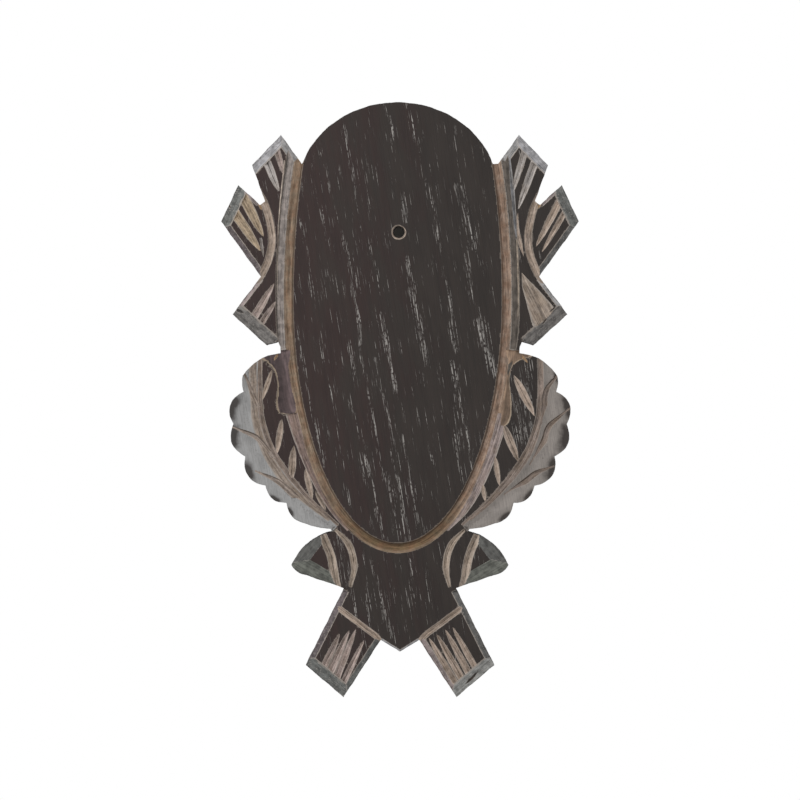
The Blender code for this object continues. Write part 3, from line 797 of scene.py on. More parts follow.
OUTER_VEINS = {
    -1: (
        ((-240, 0), (-256, 36)),
        ((-217, -86), (-240, -60), (-279, -45)),
        ((-180, -153), (-204, -134), (-232, -122)),
    ),
    1: (
        ((238, -30), (239, -8), (243, 18), (262, 41)),
        ((223, -98), (238, -68), (248, -42), (275, -20)),
        ((186, -150), (208, -134), (227, -120), (248, -113)),
    ),
}

TROUGH_GREY = (0.250, 0.247, 0.244)
TROUGH_PINK = (0.194, 0.174, 0.159)
VEIN_BEIGE = (0.230, 0.190, 0.165)
VEIN_BROWN = (0.150, 0.120, 0.104)
RIB_BEIGE = (0.200, 0.160, 0.138)
BAND_GREY = (0.215, 0.176, 0.148)
BAND_BROWN = (0.190, 0.150, 0.130)

HOLLOWED, tree, shader = new_finish("hollowed_limed_oak", 0.25)
grain = kept_on_board(tree, "grain")
turned = {"Vector": board_place(tree), "Angle": FACE_GRAIN_SLANT}
face_grain = add(tree, "VectorRotate", turned, rotation_type="Y_AXIS").outputs[0]
striations = stepped(tree, mottle(tree, face_grain, (0.00042, 1, 0.0090), 3.0, 0.6), 0.34, 0.66)
patches = patches_at(tree, board_place(tree), 0.0045)
colour = shaded(tree, kept_on_board(tree, "wood"), 0.80, (striations, 0.26), (patches, 0.18))
ragged = shifted(tree, kept_on_board(tree, "stain", "Fac"), patches, 0.30)
colour = tinted(tree, colour, GREENISH_STAIN, stepped(tree, ragged, 0.10, 0.75), 0.90)
# Painted shade in the keels, such as the midrib's.
colour = tinted(tree, colour, KEEL_SHADE, wear_and_shading_on(tree, grain)["Keel"], 0.7)
finish_off(tree, shader, colour, stepped(tree, striations, 0, 1, 0.56, 0.72), striations, 0.00004)

RIM_STAIN = 0.30
RIM_STAIN_WIDTH = 0.0007
# Each stained crescent's middle, its length, and how far it comes in from the rim.
STAINED_LOBES = (
    (-285, -12, 0.0052, 0.0040),
    (-285, -60, 0.0045, 0.0054),
    (-257, -121, 0.0040, 0.0040),
    (-211, -168, 0.0024, 0.0028),
    (-185, -188, 0.0018, 0.0024),
    (265, 40, 0.0022, 0.0016),
    (287, -10, 0.0045, 0.0042),
    (284, -64, 0.0052, 0.0054),
    (260, -117, 0.0045, 0.0050),
    (220, -164, 0.0028, 0.0034),
    (176, -196, 0.0024, 0.0030),
)
rim_tree = KDTree(len(outline))
for index, (x, z) in enumerate(outline):
    rim_tree.insert((x, z, 0), index)
rim_tree.balance()


def stain_at(spots):
    """How dark the stain lies at each spot of a leaf: in crescents at some lobes' tips, from 0 to 1."""
    inward = np.array([rim_tree.find((x, z, 0))[2] for x, z in spots])
    darkest = RIM_STAIN * np.clip(1 - inward / RIM_STAIN_WIDTH, 0, 1)
    for x, z, length, width in STAINED_LOBES:
        away = np.hypot(*(spots - np.array((x, z)) * UNIT).T)
        near_tip = np.clip(1.35 - away / length / 1.3, 0, 1)
        near_rim = np.clip(1.3 - 1.1 * inward / width, 0, 1)
        darkest = np.maximum(darkest, near_tip * near_rim)
    return np.minimum(darkest, 1)


def trough_depth(beyond):
    """How deep the leaf's hollowed outer half lies this far beyond the midrib's cut."""
    share = np.clip(beyond / LEAF_TROUGH_WIDTH, 0, 1)
    return LEAF_EDGE_DEPTH * (1 - share) + LEAF_TROUGH_DEPTH * np.sin(np.pi * share) * (1 - share**4)


def v_cut(width):
    """A V tool's section, this wide at the face."""
    return ((-width / 2, 0), (0, width * CUT_STEEPNESS), (width / 2, 0))


def between(start, end, shares):
    """The places at these shares of the way from start to end."""
    return [np.array(start) + (np.array(end) - start) * share for share in shares]


def above_acorn(spots):
    """How far each spot is above the notch between leaf and acorn."""
    return spots[:, 1] - (ACORN[3][1] + 1) * UNIT


half = MIDRIB_WIDTH / 2
hollow = np.linspace(0, LEAF_TROUGH_WIDTH, 15)
leaf_profile = [(0, MIDRIB_DEPTH), *zip(half + hollow, np.maximum(trough_depth(hollow), LOBE_DEPTH))]
leaf_profile.append((LOBE_REACH, LOBE_DEPTH))
rib_profile = ((-half, 0), (0, MIDRIB_DEPTH + SHAVING), (half, LEAF_EDGE_DEPTH + SHAVING))
band_keel = half + TORN_BAND_KEEL
band_profile = ((half * 0.8, SHAVING), (band_keel, TORN_BAND_DEPTH), (TORN_BAND_WIDTH, SHAVING))
left_vein = ((-VEIN_WIDTH, 0), (0, VEIN_DEPTH), (VEIN_STEP_WIDTH, 0))
right_vein = ((-VEIN_STEP_WIDTH, 0), (0, VEIN_DEPTH), (VEIN_WIDTH, 0))
for side, trough_wood, band_sizes, band_wood, vein_profile, vein_sizes, vein_wood in (
    (-1, TROUGH_GREY, LEFT_BAND[::-1], BAND_GREY, left_vein, (1, 0.8, 0.35), VEIN_BEIGE),
    (1, TROUGH_PINK, RIGHT_BAND, BAND_BROWN, right_vein, (0.2, 1, 0.9, 0.4), VEIN_BROWN),
):
    midrib = line_through(on_side(side, (LEAF_FOOT, *MIDRIB)), MIDRIB_SIZES[::side])
    carve(midrib, leaf_profile, HOLLOWED, trough_wood, (-half, 0, half), within=above_acorn)
    carve(midrib, rib_profile, TORN, RIB_BEIGE, ())

    def leaf_floor(spots, midrib=midrib):
        """How deep the hollow is at each spot, before its veins and band are cut."""
        return trough_depth(beside(midrib, spots)[0] - half)

    def beyond_rib(spots, midrib=midrib):
        """How far each spot is beyond the midrib."""
        return beside(midrib, spots)[0]

    band = line_through(on_side(side, MIDRIB), band_sizes)
    carve(band, band_profile, TORN, band_wood, upon=leaf_floor)
    for places in OUTER_VEINS[side]:
        vein = line_through(places, vein_sizes)
        carve(vein, vein_profile, TORN, vein_wood, upon=leaf_floor, within=beyond_rib, ends=False)
    for start, end, width in LENSES[side]:
        lens = line_through(between(start, end, np.linspace(0, 1, 7)), LENS_SIZES, step=0.0006)
        carve(lens, v_cut(width), TORN, TORN_BEIGE, ends=False)


# Acorns: one a side. Two planed flats fall from a small triangle to the nut's pointed end, and V cuts part
# the nut from its cup and the cup from the field.
ACORN_SLOPE = 0.34
ACORN_FLAT_WIDTH = 0.012
ACORN_BAND_WIDTH = 0.0036
ACORN_CUP_WIDTH = 0.0029
ACORN_FLAT = ((124, -284), (151, -268), (134, -246))
ACORN_BAND = ((104, -322), (109, -300), (115, -265), (127, -234), (136, -218))
ACORN_CUP = ((83, -314), (77, -278), (86, -243), (108, -218))

ACORN_LIME = (0.108, 0.111, 0.097)
ACORN_BLUE = (0.084, 0.083, 0.078)
BAND_BEIGE = (0.310, 0.255, 0.210)
acorn_profile = ((0, 0), (ACORN_FLAT_WIDTH, ACORN_FLAT_WIDTH * ACORN_SLOPE))
for side in (-1, 1):
    band = line_through(on_side(side, ACORN_BAND))

    def nut_side(spots, band=band):
        """How far each spot is inside the nut: beyond its band, and below the notch under the leaf."""
        return np.minimum(beside(band, spots)[0], (ACORN[3][1] + 2) * UNIT - spots[:, 1])

    for edge, before, after, wood in (
        (ACORN_FLAT[:2], 0.009, ACORN_FLAT_WIDTH, ACORN_LIME),
        (ACORN_FLAT[1:], ACORN_FLAT_WIDTH, 0.008, ACORN_BLUE),
    ):
        edge = line_through(lengthened(side, edge, before, after))
        carve(edge, acorn_profile, PARED, wood, (0,), within=nut_side)
    carve(band, v_cut(ACORN_BAND_WIDTH), TORN, BAND_BEIGE)
    cup = line_through(on_side(side, ACORN_CUP), (0.4, 1, 1, 0.4))
    carve(cup, v_cut(ACORN_CUP_WIDTH), TORN, BAND_BEIGE)


# Tail: the board's pointed foot is part of the stained face. A groove a side, cut with the V tool, sets it
# off from the two lowest stubs and shows torn pale fibres.
TAIL_GROOVE_WIDTH = 0.0025
TAIL_GROOVE = ((31, -418), (38, -399), (70, -374), (120, -336))
for side in (-1, 1):
    carve(line_through(on_side(side, TAIL_GROOVE)), v_cut(TAIL_GROOVE_WIDTH), TORN, TORN_BEIGE)


# Strokes: tapering V cuts run in from the stubs' ends towards their roots, each made with one or two
# pushes of the tool, so that they show torn pale fibres. A broad pared fan fills the right side stub, and
# a few cracks and crumbled spots are left where the grain gave way.
# Each stroke's foot, tip, width at the foot, and the colour of the wood torn open in it.
STROKES = (
    ((-222, 396), (-203, 350), 0.0034, TORN_GREY),
    ((-206, 417), (-195, 378), 0.0026, TORN_PINK),
    ((-262, 340), (-229, 274), 0.0044, TORN_OCHRE),
    ((-275, 311), (-234, 250), 0.0042, TORN_OCHRE),
    ((-233, 268), (-229, 240), 0.0010, TORN_GREY),
    ((-247, 135), (-211, 196), 0.0034, TORN_PINK),
    ((-236, 124), (-208, 166), 0.0026, TORN_PINK),
    ((-127, -446), (-101, -392), 0.0030, TORN_PINK),
    ((-117, -456), (-85, -386), 0.0033, TORN_PINK),
    ((-106, -465), (-74, -384), 0.0030, TORN_PINK),
    ((-94, -472), (-60, -402), 0.0026, TORN_PINK),
    ((209, 416), (187, 343), 0.0028, TORN_GREY),
    ((226, 399), (198, 320), 0.0033, TORN_GREY),
    ((267, 332), (228, 257), 0.0032, TORN_BEIGE),
    ((277, 316), (238, 248), 0.0024, TORN_BEIGE),
    ((95, -480), (48, -398), 0.0032, TORN_BEIGE),
    ((105, -470), (61, -392), 0.0032, TORN_BEIGE),
    ((115, -458), (76, -385), 0.0030, TORN_BEIGE),
    ((125, -447), (88, -381), 0.0026, TORN_BEIGE),
)
STROKE_SHARES = (0, 0.4, 0.7, 0.9, 1.0)
STROKE_SIZES = (1, 0.95, 0.7, 0.35, 0)
for foot, tip, width, wood in STROKES:
    side = math.copysign(1, foot[0])
    stub, flat = min(END_FLATS, key=lambda row: np.hypot(*(on_side(side, row[0][1:3]).mean(0) - foot)))

    def short_of_flat(spots, ends=on_side(side, stub[1:3]) * UNIT, flat=flat):
        """How far each spot is inside the stub's sawn end and its flat."""
        way = (ends[1] - ends[0]) / np.hypot(*(ends[1] - ends[0]))
        offset = spots - ends[0]
        return offset[:, 1] * way[0] - offset[:, 0] * way[1] - flat

    stroke = line_through(between(foot, tip, STROKE_SHARES), STROKE_SIZES)
    carve(stroke, v_cut(width), TORN, wood, within=short_of_flat, ends=False)

NICK = ((198, 315), (196, 292), (202, 262), (208, 240))
NICK_WIDTH = 0.0018
carve(line_through(NICK, (0, 1, 0.9, 0)), v_cut(NICK_WIDTH), TORN, TORN_BEIGE, ends=False)

FAN = ((241, 141), (228, 166), (214, 191), (204, 214))
FAN_REACH, FAN_DEPTH = 0.0058, 0.0010
FAN_BEND, FAN_BEND_DEPTH = 0.0038, 0.0007
FAN_BEIGE = (0.250, 0.205, 0.170)
fan_side = ((FAN_BEND, FAN_BEND_DEPTH), (FAN_REACH, 0))
fan_profile = (*((-place, depth) for place, depth in reversed(fan_side)), (0, FAN_DEPTH), *fan_side)
fan_line = line_through(FAN, (1, 0.72, 0.4, 0))
carve(fan_line, fan_profile, TORN, FAN_BEIGE, (-FAN_REACH, FAN_REACH), ends=False)

uncracked = list(cuts)
DARK_CRACK = (0.040, 0.036, 0.034)
CRUMBLED_OCHRE = (0.250, 0.165, 0.095)
# Each crack's or crumbled spot's start, end, width and colour.
BLEMISHES = (
    ((110, -478), (132, -455), 0.0013, DARK_CRACK),
    ((-291, 331), (-284, 322), 0.0010, DARK_CRACK),
    ((-276, 152), (-262, 146), 0.0016, DARK_CRACK),
    ((248, 405), (236, 415), 0.0008, DARK_CRACK),
    ((226, 426), (216, 434), 0.0006, DARK_CRACK),
    ((290, 330), (281, 345), 0.0010, DARK_CRACK),
    ((262, 158), (250, 147), 0.0007, DARK_CRACK),
    ((247, 138), (238, 126), 0.0007, DARK_CRACK),
    ((238, 338), (231, 320), 0.0014, CRUMBLED_OCHRE),
    ((-238, 334), (-232, 318), 0.0012, CRUMBLED_OCHRE),
    ((-205, 78), (-212, 66), 0.0012, CRUMBLED_OCHRE),
    ((204, 76), (214, 62), 0.0013, CRUMBLED_OCHRE),
)


def carved_so_far(spots):
    """How deep the board is cut at each spot without its cracks, crumbled spots and pale ribbon strips."""
    return deepest(spots, uncracked)[0]


for start, end, width, wood in BLEMISHES:
    places = between(start, end, (0, 0.3, 0.7, 1))
    crack = line_through(places, (0, 1, 0.8, 0), step=0.0005, tremor=0.0001)
    carve(crack, v_cut(width), TORN, wood, upon=carved_so_far, ends=False)

HIGHLIGHT_GREY = (0.170, 0.170, 0.177)
HIGHLIGHT_CREAM = (0.400, 0.330, 0.260)
SCRAPED_PINK = (0.360, 0.300, 0.250)
# Pale strips along the ribbons. On the right ribbon the grey strip is a painted highlight down its lit facet,
# and the cream one a painted highlight along the top of its wall.
# Each strip's line along the ribbon, its width and its colour.
RIBBON_STRIPS = (
    (((184, 403), (189, 350), (193, 300), (195, 275)), 0.0017, HIGHLIGHT_GREY),
    (((196, 268), (198, 225), (199, 180), (198, 140)), 0.0007, HIGHLIGHT_CREAM),
    (((-194, 400), (-201, 330), (-205, 260), (-206, 180)), 0.0006, SCRAPED_PINK),
)
for places, width, wood in RIBBON_STRIPS:
    strip_profile = ((-width / 2, SHAVING), (0, 2 * SHAVING), (width / 2, SHAVING))
    carve(line_through(places, (0.5, 1, 0.8, 0.3)), strip_profile, PARED, wood, upon=carved_so_far, ends=False)


# The field: the flat oval on which the antlers' plate sits. Its open pores show as slanting broken streaks
# of white lime wax, and one blind screw hole is drilled in it, with the wood chipped round its mouth.
SCREW_HOLE_PLACE = (-2, 282)
SCREW_HOLE_DIAMETER = 0.005
SCREW_HOLE_DEPTH = 0.013
CHIPPED_RIM = 0.0005
CHIP_SIZES = (1.0, 0.5, 0.7, 0.8, 2.1, 1.2, 1.0)
CHIP_INWARD, CHIP_OUTWARD = 0.0010, 0.0003
CHIP_DEPTH = 0.0006
# Each streak's start and end, half its width, and how full of lime wax its pores are.
LIMED_STREAKS = (
    ((-32, 149), (-7, 15), 4.195, 1),
    ((-84, 233), (-65, 96), 4.195, 0.9),
    ((5, 346), (10, 295), 4.195, 0.9),
    ((-65, -89), (-59, -143), 4.195, 0.9),
    ((94, 57), (121, -112), 4.195, 0.9),
    ((91, 461), (102, 357), 3.356, 0.76),
    ((97, 361), (124, 257), 7.551, 0.8),
    ((109, 257), (121, 183), 4.195, 0.8),
    ((121, 183), (144, 117), 5.034, 0.8),
    ((129, 134), (159, 45), 9.229, 0.9),
    ((8, 257), (25, 176), 4.195, 0.78),
    ((17, 183), (40, 117), 7.551, 0.8),
    ((29, 134), (45, 57), 5.873, 0.78),
    ((45, 369), (60, 302), 3.356, 0.76),
    ((60, 302), (81, 176), 3.356, 0.76),
    ((82, 176), (87, 134), 5.034, 0.78),
    ((86, 134), (94, 84), 6.712, 0.9),
    ((86, 65), (101, -59), 4.195, 0.8),
    ((91, -12), (99, -136), 4.195, 0.78),
    ((106, -20), (119, -97), 4.195, 0.78),
    ((-94, 461), (-81, 373), 3.356, 0.76),
    ((-81, 373), (-64, 287), 3.356, 0.78),
    ((-60, 403), (-44, 242), 3.356, 0.76),
    ((-44, 242), (-34, 176), 3.356, 0.76),
    ((-134, 418), (-111, 326), 3.356, 0.64),
    ((-111, 326), (-84, 233), 3.356, 0.76),
    ((-148, 396), (-144, 326), 3.356, 0.64),
    ((-134, 322), (-119, 263), 3.356, 0.64),
    ((-126, 233), (-122, 198), 3.356, 0.64),
    ((-166, 299), (-151, 203), 3.356, 0.76),
    ((-151, 203), (-141, 149), 3.356, 0.64),
    ((-111, 218), (-102, 176), 3.356, 0.76),
    ((-64, 72), (-52, 3), 4.195, 0.78),
    ((-89, 111), (-74, 34), 3.356, 0.78),
    ((-42, 72), (-22, -20), 4.195, 0.78),
    ((-22, -20), (-10, -67), 4.195, 0.78),
    ((-86, 0), (-57, -82), 4.195, 0.78),
    ((-52, -5), (-25, -133), 4.195, 0.78),
    ((-57, -94), (-34, -198), 4.195, 0.78),
    ((-10, -59), (2, -121), 4.195, 0.8),
    ((5, -59), (32, -213), 4.195, 0.8),
    ((-22, -121), (-7, -193), 4.195, 0.8),
    ((-5, -128), (13, -237), 7.551, 0.9),
    ((-42, -183), (-25, -237), 4.195, 0.78),
    ((-175, 131), (-153, 7), 4.195, 0.78),
    ((-153, 7), (-126, -112), 3.356, 0.76),
    ((-134, 114), (-126, 65), 3.356, 0.64),
    ((-116, 22), (-94, -112), 3.356, 0.64),
    ((-86, -148), (-84, -175), 3.356, 0.76),
    ((55, -94), (57, -109), 4.195, 0.78),
    ((-25, 495), (-23, 477), 3.356, 0.76),
    ((-17, 477), (-10, 399), 3.356, 0.76),
    ((10, 498), (35, 414), 3.356, 0.76),
    ((-63, -248), (-50, -378), 3.8, 0.75),
    ((-39, -294), (-28, -369), 3.4, 0.78),
    ((-25, -352), (-5, -416), 3.8, 0.8),
    ((17, -268), (25, -330), 3.4, 0.78),
    ((42, -272), (48, -336), 3.8, 0.75),
    ((-80, -319), (-74, -361), 3.4, 0.76),
    ((5, -200), (14, -236), 4.2, 0.8),
)
LIMED_LEAF = ((210, 50), (206, -60), 30, 0.60)
LIMED_CUP = ((-100, -235), (-95, -305), 14, 0.5)
LIMED_TAIL = ((-30, -290), (10, -350), 60, 0.30)
LIME_ELSEWHERE = 0.16
hole_centre = np.array(SCREW_HOLE_PLACE) * UNIT
turn = np.linspace(0, 2 * math.pi, 40, endpoint=False)
round_hole = np.stack([np.cos(turn), np.sin(turn)], 1)
hole = hole_centre + SCREW_HOLE_DIAMETER / 2 * round_hole
chipped = (hole_centre + (SCREW_HOLE_DIAMETER / 2 + CHIPPED_RIM / 2) * round_hole) / UNIT
chips = line_through([*chipped, chipped[0]], CHIP_SIZES, tremor=0.00010)
chip_profile = ((-CHIP_INWARD, CHIP_DEPTH), (CHIP_OUTWARD, 0))
carve(chips, chip_profile, TORN, TORN_BEIGE, (CHIP_OUTWARD,), ends=False)

GREY_DUST = (0.480, 0.465, 0.440, 1)
WHITE_DUST = (0.720, 0.700, 0.670, 1)
SOILED_MOUTH = (0.070, 0.056, 0.045, 1)
DUSTED, tree, shader = new_finish("dusty_screw_hole", 0.2)
fibres = fibres_along(tree, kept_on_board(tree, "grain"), 0.00050, 0.0008)
colour = mixed(tree, fibres, GREY_DUST, WHITE_DUST)
soiled = stepped(tree, board_axis(tree, 1), FACE + 0.011, FACE + 0.0035)
colour = mixed(tree, soiled, colour, SOILED_MOUTH)
finish_off(tree, shader, colour, stepped(tree, fibres, 0, 1, 0.70, 0.85), fibres, 0.00006)


def lime_at(spots):
    """How much of the wood's pores at each spot is filled with lime wax, from 0 to 1."""
    most = np.full(len(spots), LIME_ELSEWHERE)
    for start, end, half_width, strength in (*LIMED_STREAKS, LIMED_LEAF, LIMED_CUP, LIMED_TAIL):
        start, way = np.array(start) * UNIT, (np.array(end) - start) * UNIT
        share = np.clip((spots - start) @ way / (way @ way), 0, 1)
        away = np.hypot(*(spots - start - share[:, None] * way).T)
        most = np.maximum(most, strength * np.exp(-((away / (half_width * UNIT)) ** 2)))
    return most


# The surface: the face is meshed finely wherever it is cut, with an edge of the mesh along every arris and
# keel, then carried down the sawn edge to the plain back, and down the screw hole to its floor.
FINE_STEP = 0.00040
FLAT_STEPS = 3
SCATTER = 0.2
CLEAR_OF_EDGES = 0.00022
MERGED_BELOW = 1e-7
SHARP_ARRIS = 0.00008
RUFFLED_BELOW = 0.0002
RUFFLE = 0.00005
RUFFLE_WIDTH = 0.0011
RUFFLE_LENGTH = 0.0026
WALL_STEPS = (0.03, 0.3, 0.6, 1.0)
HOLE_STEPS = (0.1, 0.5, 1.0)
BACK_STEP = 0.004
CUT_GRAIN_SHIFT = 3.7
SHARP_ANGLE = math.radians(22)


def inside_loop(spots, loop):
    """Which spots lie inside a closed loop of points."""
    odd = np.zeros(len(spots), bool)
    for start, end in zip(loop, np.roll(loop, -1, 0)):
        rises = (start[1] > spots[:, 1]) != (end[1] > spots[:, 1])
        if start[1] != end[1]:
            crossing = start[0] + (spots[:, 1] - start[1]) * (end[0] - start[0]) / (end[1] - start[1])
            odd ^= rises & (spots[:, 0] < crossing)
    return odd


def evenly(points, step=EDGE_STEP):
    """The same line with its points this far apart."""
    length = np.append(0, np.cumsum(np.hypot(*np.diff(points, axis=0).T)))
    places = np.linspace(0, length[-1], max(2, round(length[-1] / step) + 1))
    return np.stack([np.interp(places, length, points[:, axis]) for axis in (0, 1)], 1)


def joined(points, edges):
    """The points joined into triangles with these edges kept, and what each point was made from."""
    found = delaunay_2d_cdt([Vector(point) for point in points], edges, [], 0, MERGED_BELOW)
    return np.array([tuple(point) for point in found[0]]), np.array(found[2]), found[3]


def loop_edges(numbers):
    """Edges from each point of a closed loop to the next."""
    return list(zip(numbers.tolist(), np.roll(numbers, -1).tolist()))


points = [outline, hole]
count = len(outline) + len(hole)
edges = loop_edges(np.arange(len(outline))) + loop_edges(np.arange(len(outline), count))
for cut in cuts:
    for edge in cut["edges"]:
        edge = evenly(edge)
        kept = inside_loop(edge, outline)
        kept[:-1] |= kept[1:]
        kept[1:] |= kept[:-1]
        numbers = np.full(len(edge), -1)
        numbers[kept] = count + np.arange(kept.sum())
        both = kept[:-1] & kept[1:]
        edges += list(zip(numbers[:-1][both].tolist(), numbers[1:][both].tolist()))
        points.append(edge[kept])
        count += int(kept.sum())
points = np.concatenate(points)

columns = np.arange(low.x, high.x, FINE_STEP)
rows = np.arange(low.z, high.z, FINE_STEP)
across, up = np.meshgrid(columns, rows)
spots = np.stack([across.ravel(), up.ravel()], 1)
row_steps, column_steps = np.arange(len(rows)) % FLAT_STEPS, np.arange(len(columns)) % FLAT_STEPS
sparse = np.add.outer(row_steps, column_steps).ravel() == 0
kept = inside_loop(spots, outline)
spots, sparse = spots[kept], sparse[kept]
grid = np.zeros((len(rows) + 2, len(columns) + 2), bool)
grid_rows = np.round((spots[:, 1] - low.z) / FINE_STEP).astype(int) + 1
grid_columns = np.round((spots[:, 0] - low.x) / FINE_STEP).astype(int) + 1
grid[grid_rows, grid_columns] = deepest(spots)[0] > 0
grown = grid.copy()
grown[1:] |= grid[:-1]
grown[:-1] |= grid[1:]
grown[:, 1:] |= grid[:, :-1]
grown[:, :-1] |= grid[:, 1:]
spots = spots[grown[grid_rows, grid_columns] | sparse]
spots = spots + chance.uniform(-SCATTER, SCATTER, spots.shape) * FINE_STEP
edge_tree = KDTree(len(points))
for index, point in enumerate(points):
    edge_tree.insert((point[0], point[1], 0), index)
edge_tree.balance()
clear = np.array([edge_tree.find((x, z, 0))[2] > CLEAR_OF_EDGES for x, z in spots])
clear &= np.hypot(*(spots - hole_centre).T) > SCREW_HOLE_DIAMETER / 2 + CLEAR_OF_EDGES
flat, faces = joined(np.concatenate([points, spots[clear]]), edges)[:2]
middles = flat[faces].mean(1)
beyond_hole = np.hypot(*(middles - hole_centre).T) > SCREW_HOLE_DIAMETER / 2
used, faces = np.unique(faces[inside_loop(middles, outline) & beyond_hole], return_inverse=True)
flat, faces = flat[used], faces.reshape(-1, 3)
depth = deepest(flat)[0]

face_owner = deepest(flat[faces].mean(1))[1]
finish = np.array([cut["finish"] for cut in cuts] + [STAINED])[face_owner]
corners = flat[faces].reshape(-1, 2)
corner_owner = np.repeat(face_owner, 3)
slant = np.array([math.cos(FACE_GRAIN_SLANT), math.sin(FACE_GRAIN_SLANT)])
grain = np.stack([corners @ slant, corners @ (-slant[1], slant[0]), np.zeros(len(corners))], 1)
wood = np.zeros((len(corners), 3))
place = np.zeros(len(corners))
for number, cut in enumerate(cuts):
    owned = np.flatnonzero(corner_owner == number)
    if len(owned):
        here, along, beyond, share = cut["shape"](corners[owned])
        grain[owned] = np.stack([beyond, along, np.full(len(owned), number * CUT_GRAIN_SHIFT)], 1)
        wood[owned] = cut["wood"]
        place[owned] = share

sides_of_faces = np.concatenate([faces[:, [0, 1]], faces[:, [1, 2]], faces[:, [2, 0]]])
neighbours = np.maximum(np.bincount(sides_of_faces.ravel(), minlength=len(flat)), 1)


def levelled(heights):
    """Each point's mean height over its neighbours in the mesh."""
    total = np.bincount(sides_of_faces[:, 0], heights[sides_of_faces[:, 1]], len(flat))
    total += np.bincount(sides_of_faces[:, 1], heights[sides_of_faces[:, 0]], len(flat))
    return total / neighbours


arris = np.maximum(levelled(depth) - depth, 0)
keel = np.maximum(depth - levelled(levelled(depth)), 0)
# The keels' depth goes into the relief in millimetres, as edge_wear_and_shading takes it; the relief
# drives the painted highlight on arrises and the painted shade in keels.
relief = np.minimum(arris / SHARP_ARRIS, 1) - keel * 1000
for index in np.flatnonzero(depth > RUFFLED_BELOW):
    x, z = flat[index]
    depth[index] += RUFFLE * noise.noise((x / RUFFLE_WIDTH, z / RUFFLE_LENGTH, 0.0))

pairs = set(map(tuple, sides_of_faces.tolist()))
following = {start: end for start, end in pairs if (end, start) not in pairs}
loops = []
while following:
    start = min(following, key=lambda index: flat[index, 0])
    loop = [start]
    step = following.pop(start)
    while step != start:
        loop.append(step)
        step = following.pop(step)
    loops.append(np.array(loop))
rim, hole_rim = loops

vertices = [np.stack([flat[:, 0], FACE + depth, flat[:, 1]], 1)]
all_faces = faces.tolist()
all_finishes = finish.tolist()
all_grain = [grain]


def laid(places):
    """Adds points to the board, and gives their numbers."""
    first = sum(len(part) for part in vertices)
    vertices.append(np.array(places))
    return first + np.arange(len(places))


def wall(loop, back, steps, finish_number):
    """Carries a loop of the face straight back in a few steps, and gives the last ring's numbers."""
    ring, edge = loop, flat[loop]
    top = height = FACE + depth[loop]
    run = np.append(0, np.cumsum(np.hypot(*(np.roll(edge, -1, 0) - edge).T)))
    for step in steps:
        lower = top + (back - top) * step
        next_ring = laid(np.stack([edge[:, 0], lower, edge[:, 1]], 1))
        quads = np.stack([np.roll(ring, -1), ring, next_ring, np.roll(next_ring, -1)], 1)
        all_faces.extend(quads.tolist())
        all_finishes.extend([finish_number] * len(loop))
        runs = np.stack([run[1:], run[:-1], run[:-1], run[1:]], 1).ravel()
        heights = np.stack([np.roll(height, -1), height, lower, np.roll(lower, -1)], 1).ravel()
        all_grain.append(np.stack([runs, heights, np.zeros(len(runs))], 1))
        ring, height = next_ring, lower
    return ring


last = wall(rim, 0.0, WALL_STEPS, SAWN)
back_edge = flat[rim]
across, up = np.meshgrid(np.arange(low.x, high.x, BACK_STEP), np.arange(low.z, high.z, BACK_STEP))
spots = np.stack([across.ravel(), up.ravel()], 1)
spots = spots[inside_loop(spots, back_edge)]
back, back_faces, sources = joined(np.concatenate([back_edge, spots]), loop_edges(np.arange(len(back_edge))))
back_faces = back_faces[inside_loop(back[back_faces].mean(1), back_edge)][:, ::-1]
numbers = np.full(len(back), -1)
for index, made_from in enumerate(sources):
    for source in made_from:
        if source < len(back_edge):
            numbers[index] = last[source]
inner = numbers < 0
numbers[inner] = laid(np.stack([back[inner, 0], np.zeros(inner.sum()), back[inner, 1]], 1))
all_faces += numbers[back_faces].tolist()
all_finishes += [BARE] * len(back_faces)
spread = back[back_faces].reshape(-1, 2)
all_grain.append(np.column_stack([spread @ slant, spread @ (-slant[1], slant[0]), np.ones(len(spread))]))

last = wall(hole_rim, FACE + SCREW_HOLE_DEPTH, HOLE_STEPS, DUSTED)
middle = laid([(hole_centre[0], FACE + SCREW_HOLE_DEPTH, hole_centre[1])])[0]
all_faces += [[int(a), int(b), int(middle)] for a, b in zip(np.roll(last, -1), last)]
all_finishes += [DUSTED] * len(last)
all_grain.append(np.zeros((3 * len(last), 3)))

mesh = bpy.data.meshes.new("carved_board")
mesh.from_pydata(np.concatenate(vertices).tolist(), [], all_faces)
board = bpy.data.objects.new("carved_board", mesh)
bpy.context.scene.collection.objects.link(board)
for material in finishes:
    mesh.materials.append(material)
mesh.polygons.foreach_set("material_index", np.array(all_finishes, np.int32))


def keep_for_finishes(name, domain, count, values):
    """Keeps values for the finishes, which are 0 on what lies behind the face."""
    kind, field = ("FLOAT", "value") if values.ndim == 1 else ("FLOAT_VECTOR", "vector")
    filled = np.zeros((count, *values.shape[1:]), np.float32)
    filled[: len(values)] = values
    mesh.attributes.new(name, kind, domain).data.foreach_set(field, filled.ravel())


for name, values in (("grain", np.concatenate(all_grain)), ("wood", wood), ("place", place)):
    keep_for_finishes(name, "CORNER", len(mesh.loops), values)
for name, values in (("relief", relief), ("lime", lime_at(flat)), ("stain", stain_at(flat))):
    keep_for_finishes(name, "POINT", len(mesh.vertices), values)
mesh.validate()
mesh.shade_smooth()
mesh.set_sharp_from_angle(angle=SHARP_ANGLE)
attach(board, "root")
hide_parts("carved_plaque")


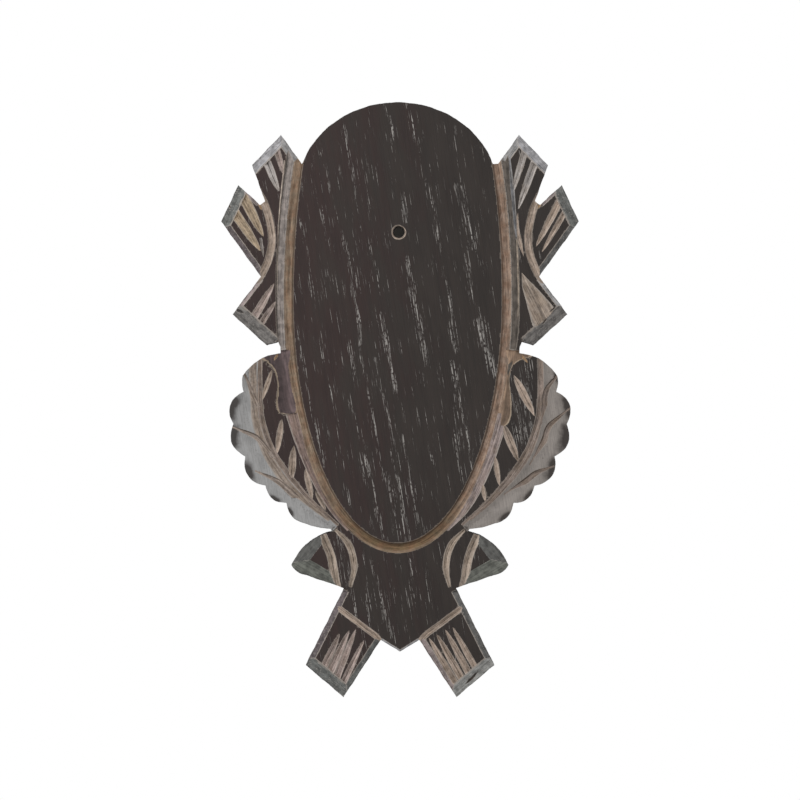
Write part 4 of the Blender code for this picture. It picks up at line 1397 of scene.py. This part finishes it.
# The stage: a plain pale floor lies well below the board, which hangs clear of it in a white surround. Soft
# daylight falls from a large window at the upper left, and the camera looks straight at the board's face.
FLOOR_REACH = 0.8
FLOOR_DROP = 0.12
SURROUND_STRENGTH = 0.55
WINDOW_ENERGY = 20
WINDOW_SIZE = 0.9
WINDOW_PLACE = (-0.5, -1.3, 1.0)
PICTURE_WIDTH = 0.336
LENS = 200

floor_mesh = bpy.data.meshes.new("floor")
corners = ((-1, -1), (1, -1), (1, 1), (-1, 1))
corners = [(x * FLOOR_REACH, y * FLOOR_REACH, low.z - FLOOR_DROP) for x, y in corners]
floor_mesh.from_pydata(corners, [], [(0, 1, 2, 3)])
floor = bpy.data.objects.new("floor", floor_mesh)
bpy.context.scene.collection.objects.link(floor)

world = bpy.data.worlds.new("studio")
bpy.context.scene.world = world
world.use_nodes = True
nodes = world.node_tree.nodes
links = world.node_tree.links
nodes["Background"].inputs["Color"].default_value = (1, 1, 1, 1)
nodes["Background"].inputs["Strength"].default_value = SURROUND_STRENGTH
seen = nodes.new("ShaderNodeBackground")
seen.inputs["Color"].default_value = (1, 1, 1, 1)
ray = nodes.new("ShaderNodeLightPath")
choice = nodes.new("ShaderNodeMixShader")
links.new(ray.outputs["Is Camera Ray"], choice.inputs["Fac"])
links.new(nodes["Background"].outputs["Background"], choice.inputs[1])
links.new(seen.outputs["Background"], choice.inputs[2])
links.new(choice.outputs["Shader"], nodes["World Output"].inputs["Surface"])

lamp = bpy.data.lights.new("window_light", "AREA")
lamp.energy = WINDOW_ENERGY
lamp.size = WINDOW_SIZE
window = bpy.data.objects.new("window_light", lamp)
bpy.context.scene.collection.objects.link(window)
window.location = WINDOW_PLACE
window.rotation_euler = (-window.location).to_track_quat("-Z", "Y").to_euler()

camera = bpy.data.cameras.new("camera")
camera.lens = LENS
viewpoint = bpy.data.objects.new("camera", camera)
bpy.context.scene.collection.objects.link(viewpoint)
viewpoint.location = (0, FACE - PICTURE_WIDTH * LENS / camera.sensor_width, 0)
viewpoint.rotation_euler = (math.pi / 2, 0, 0)
bpy.context.scene.camera = viewpoint
bpy.context.scene.view_settings.view_transform = "Standard"
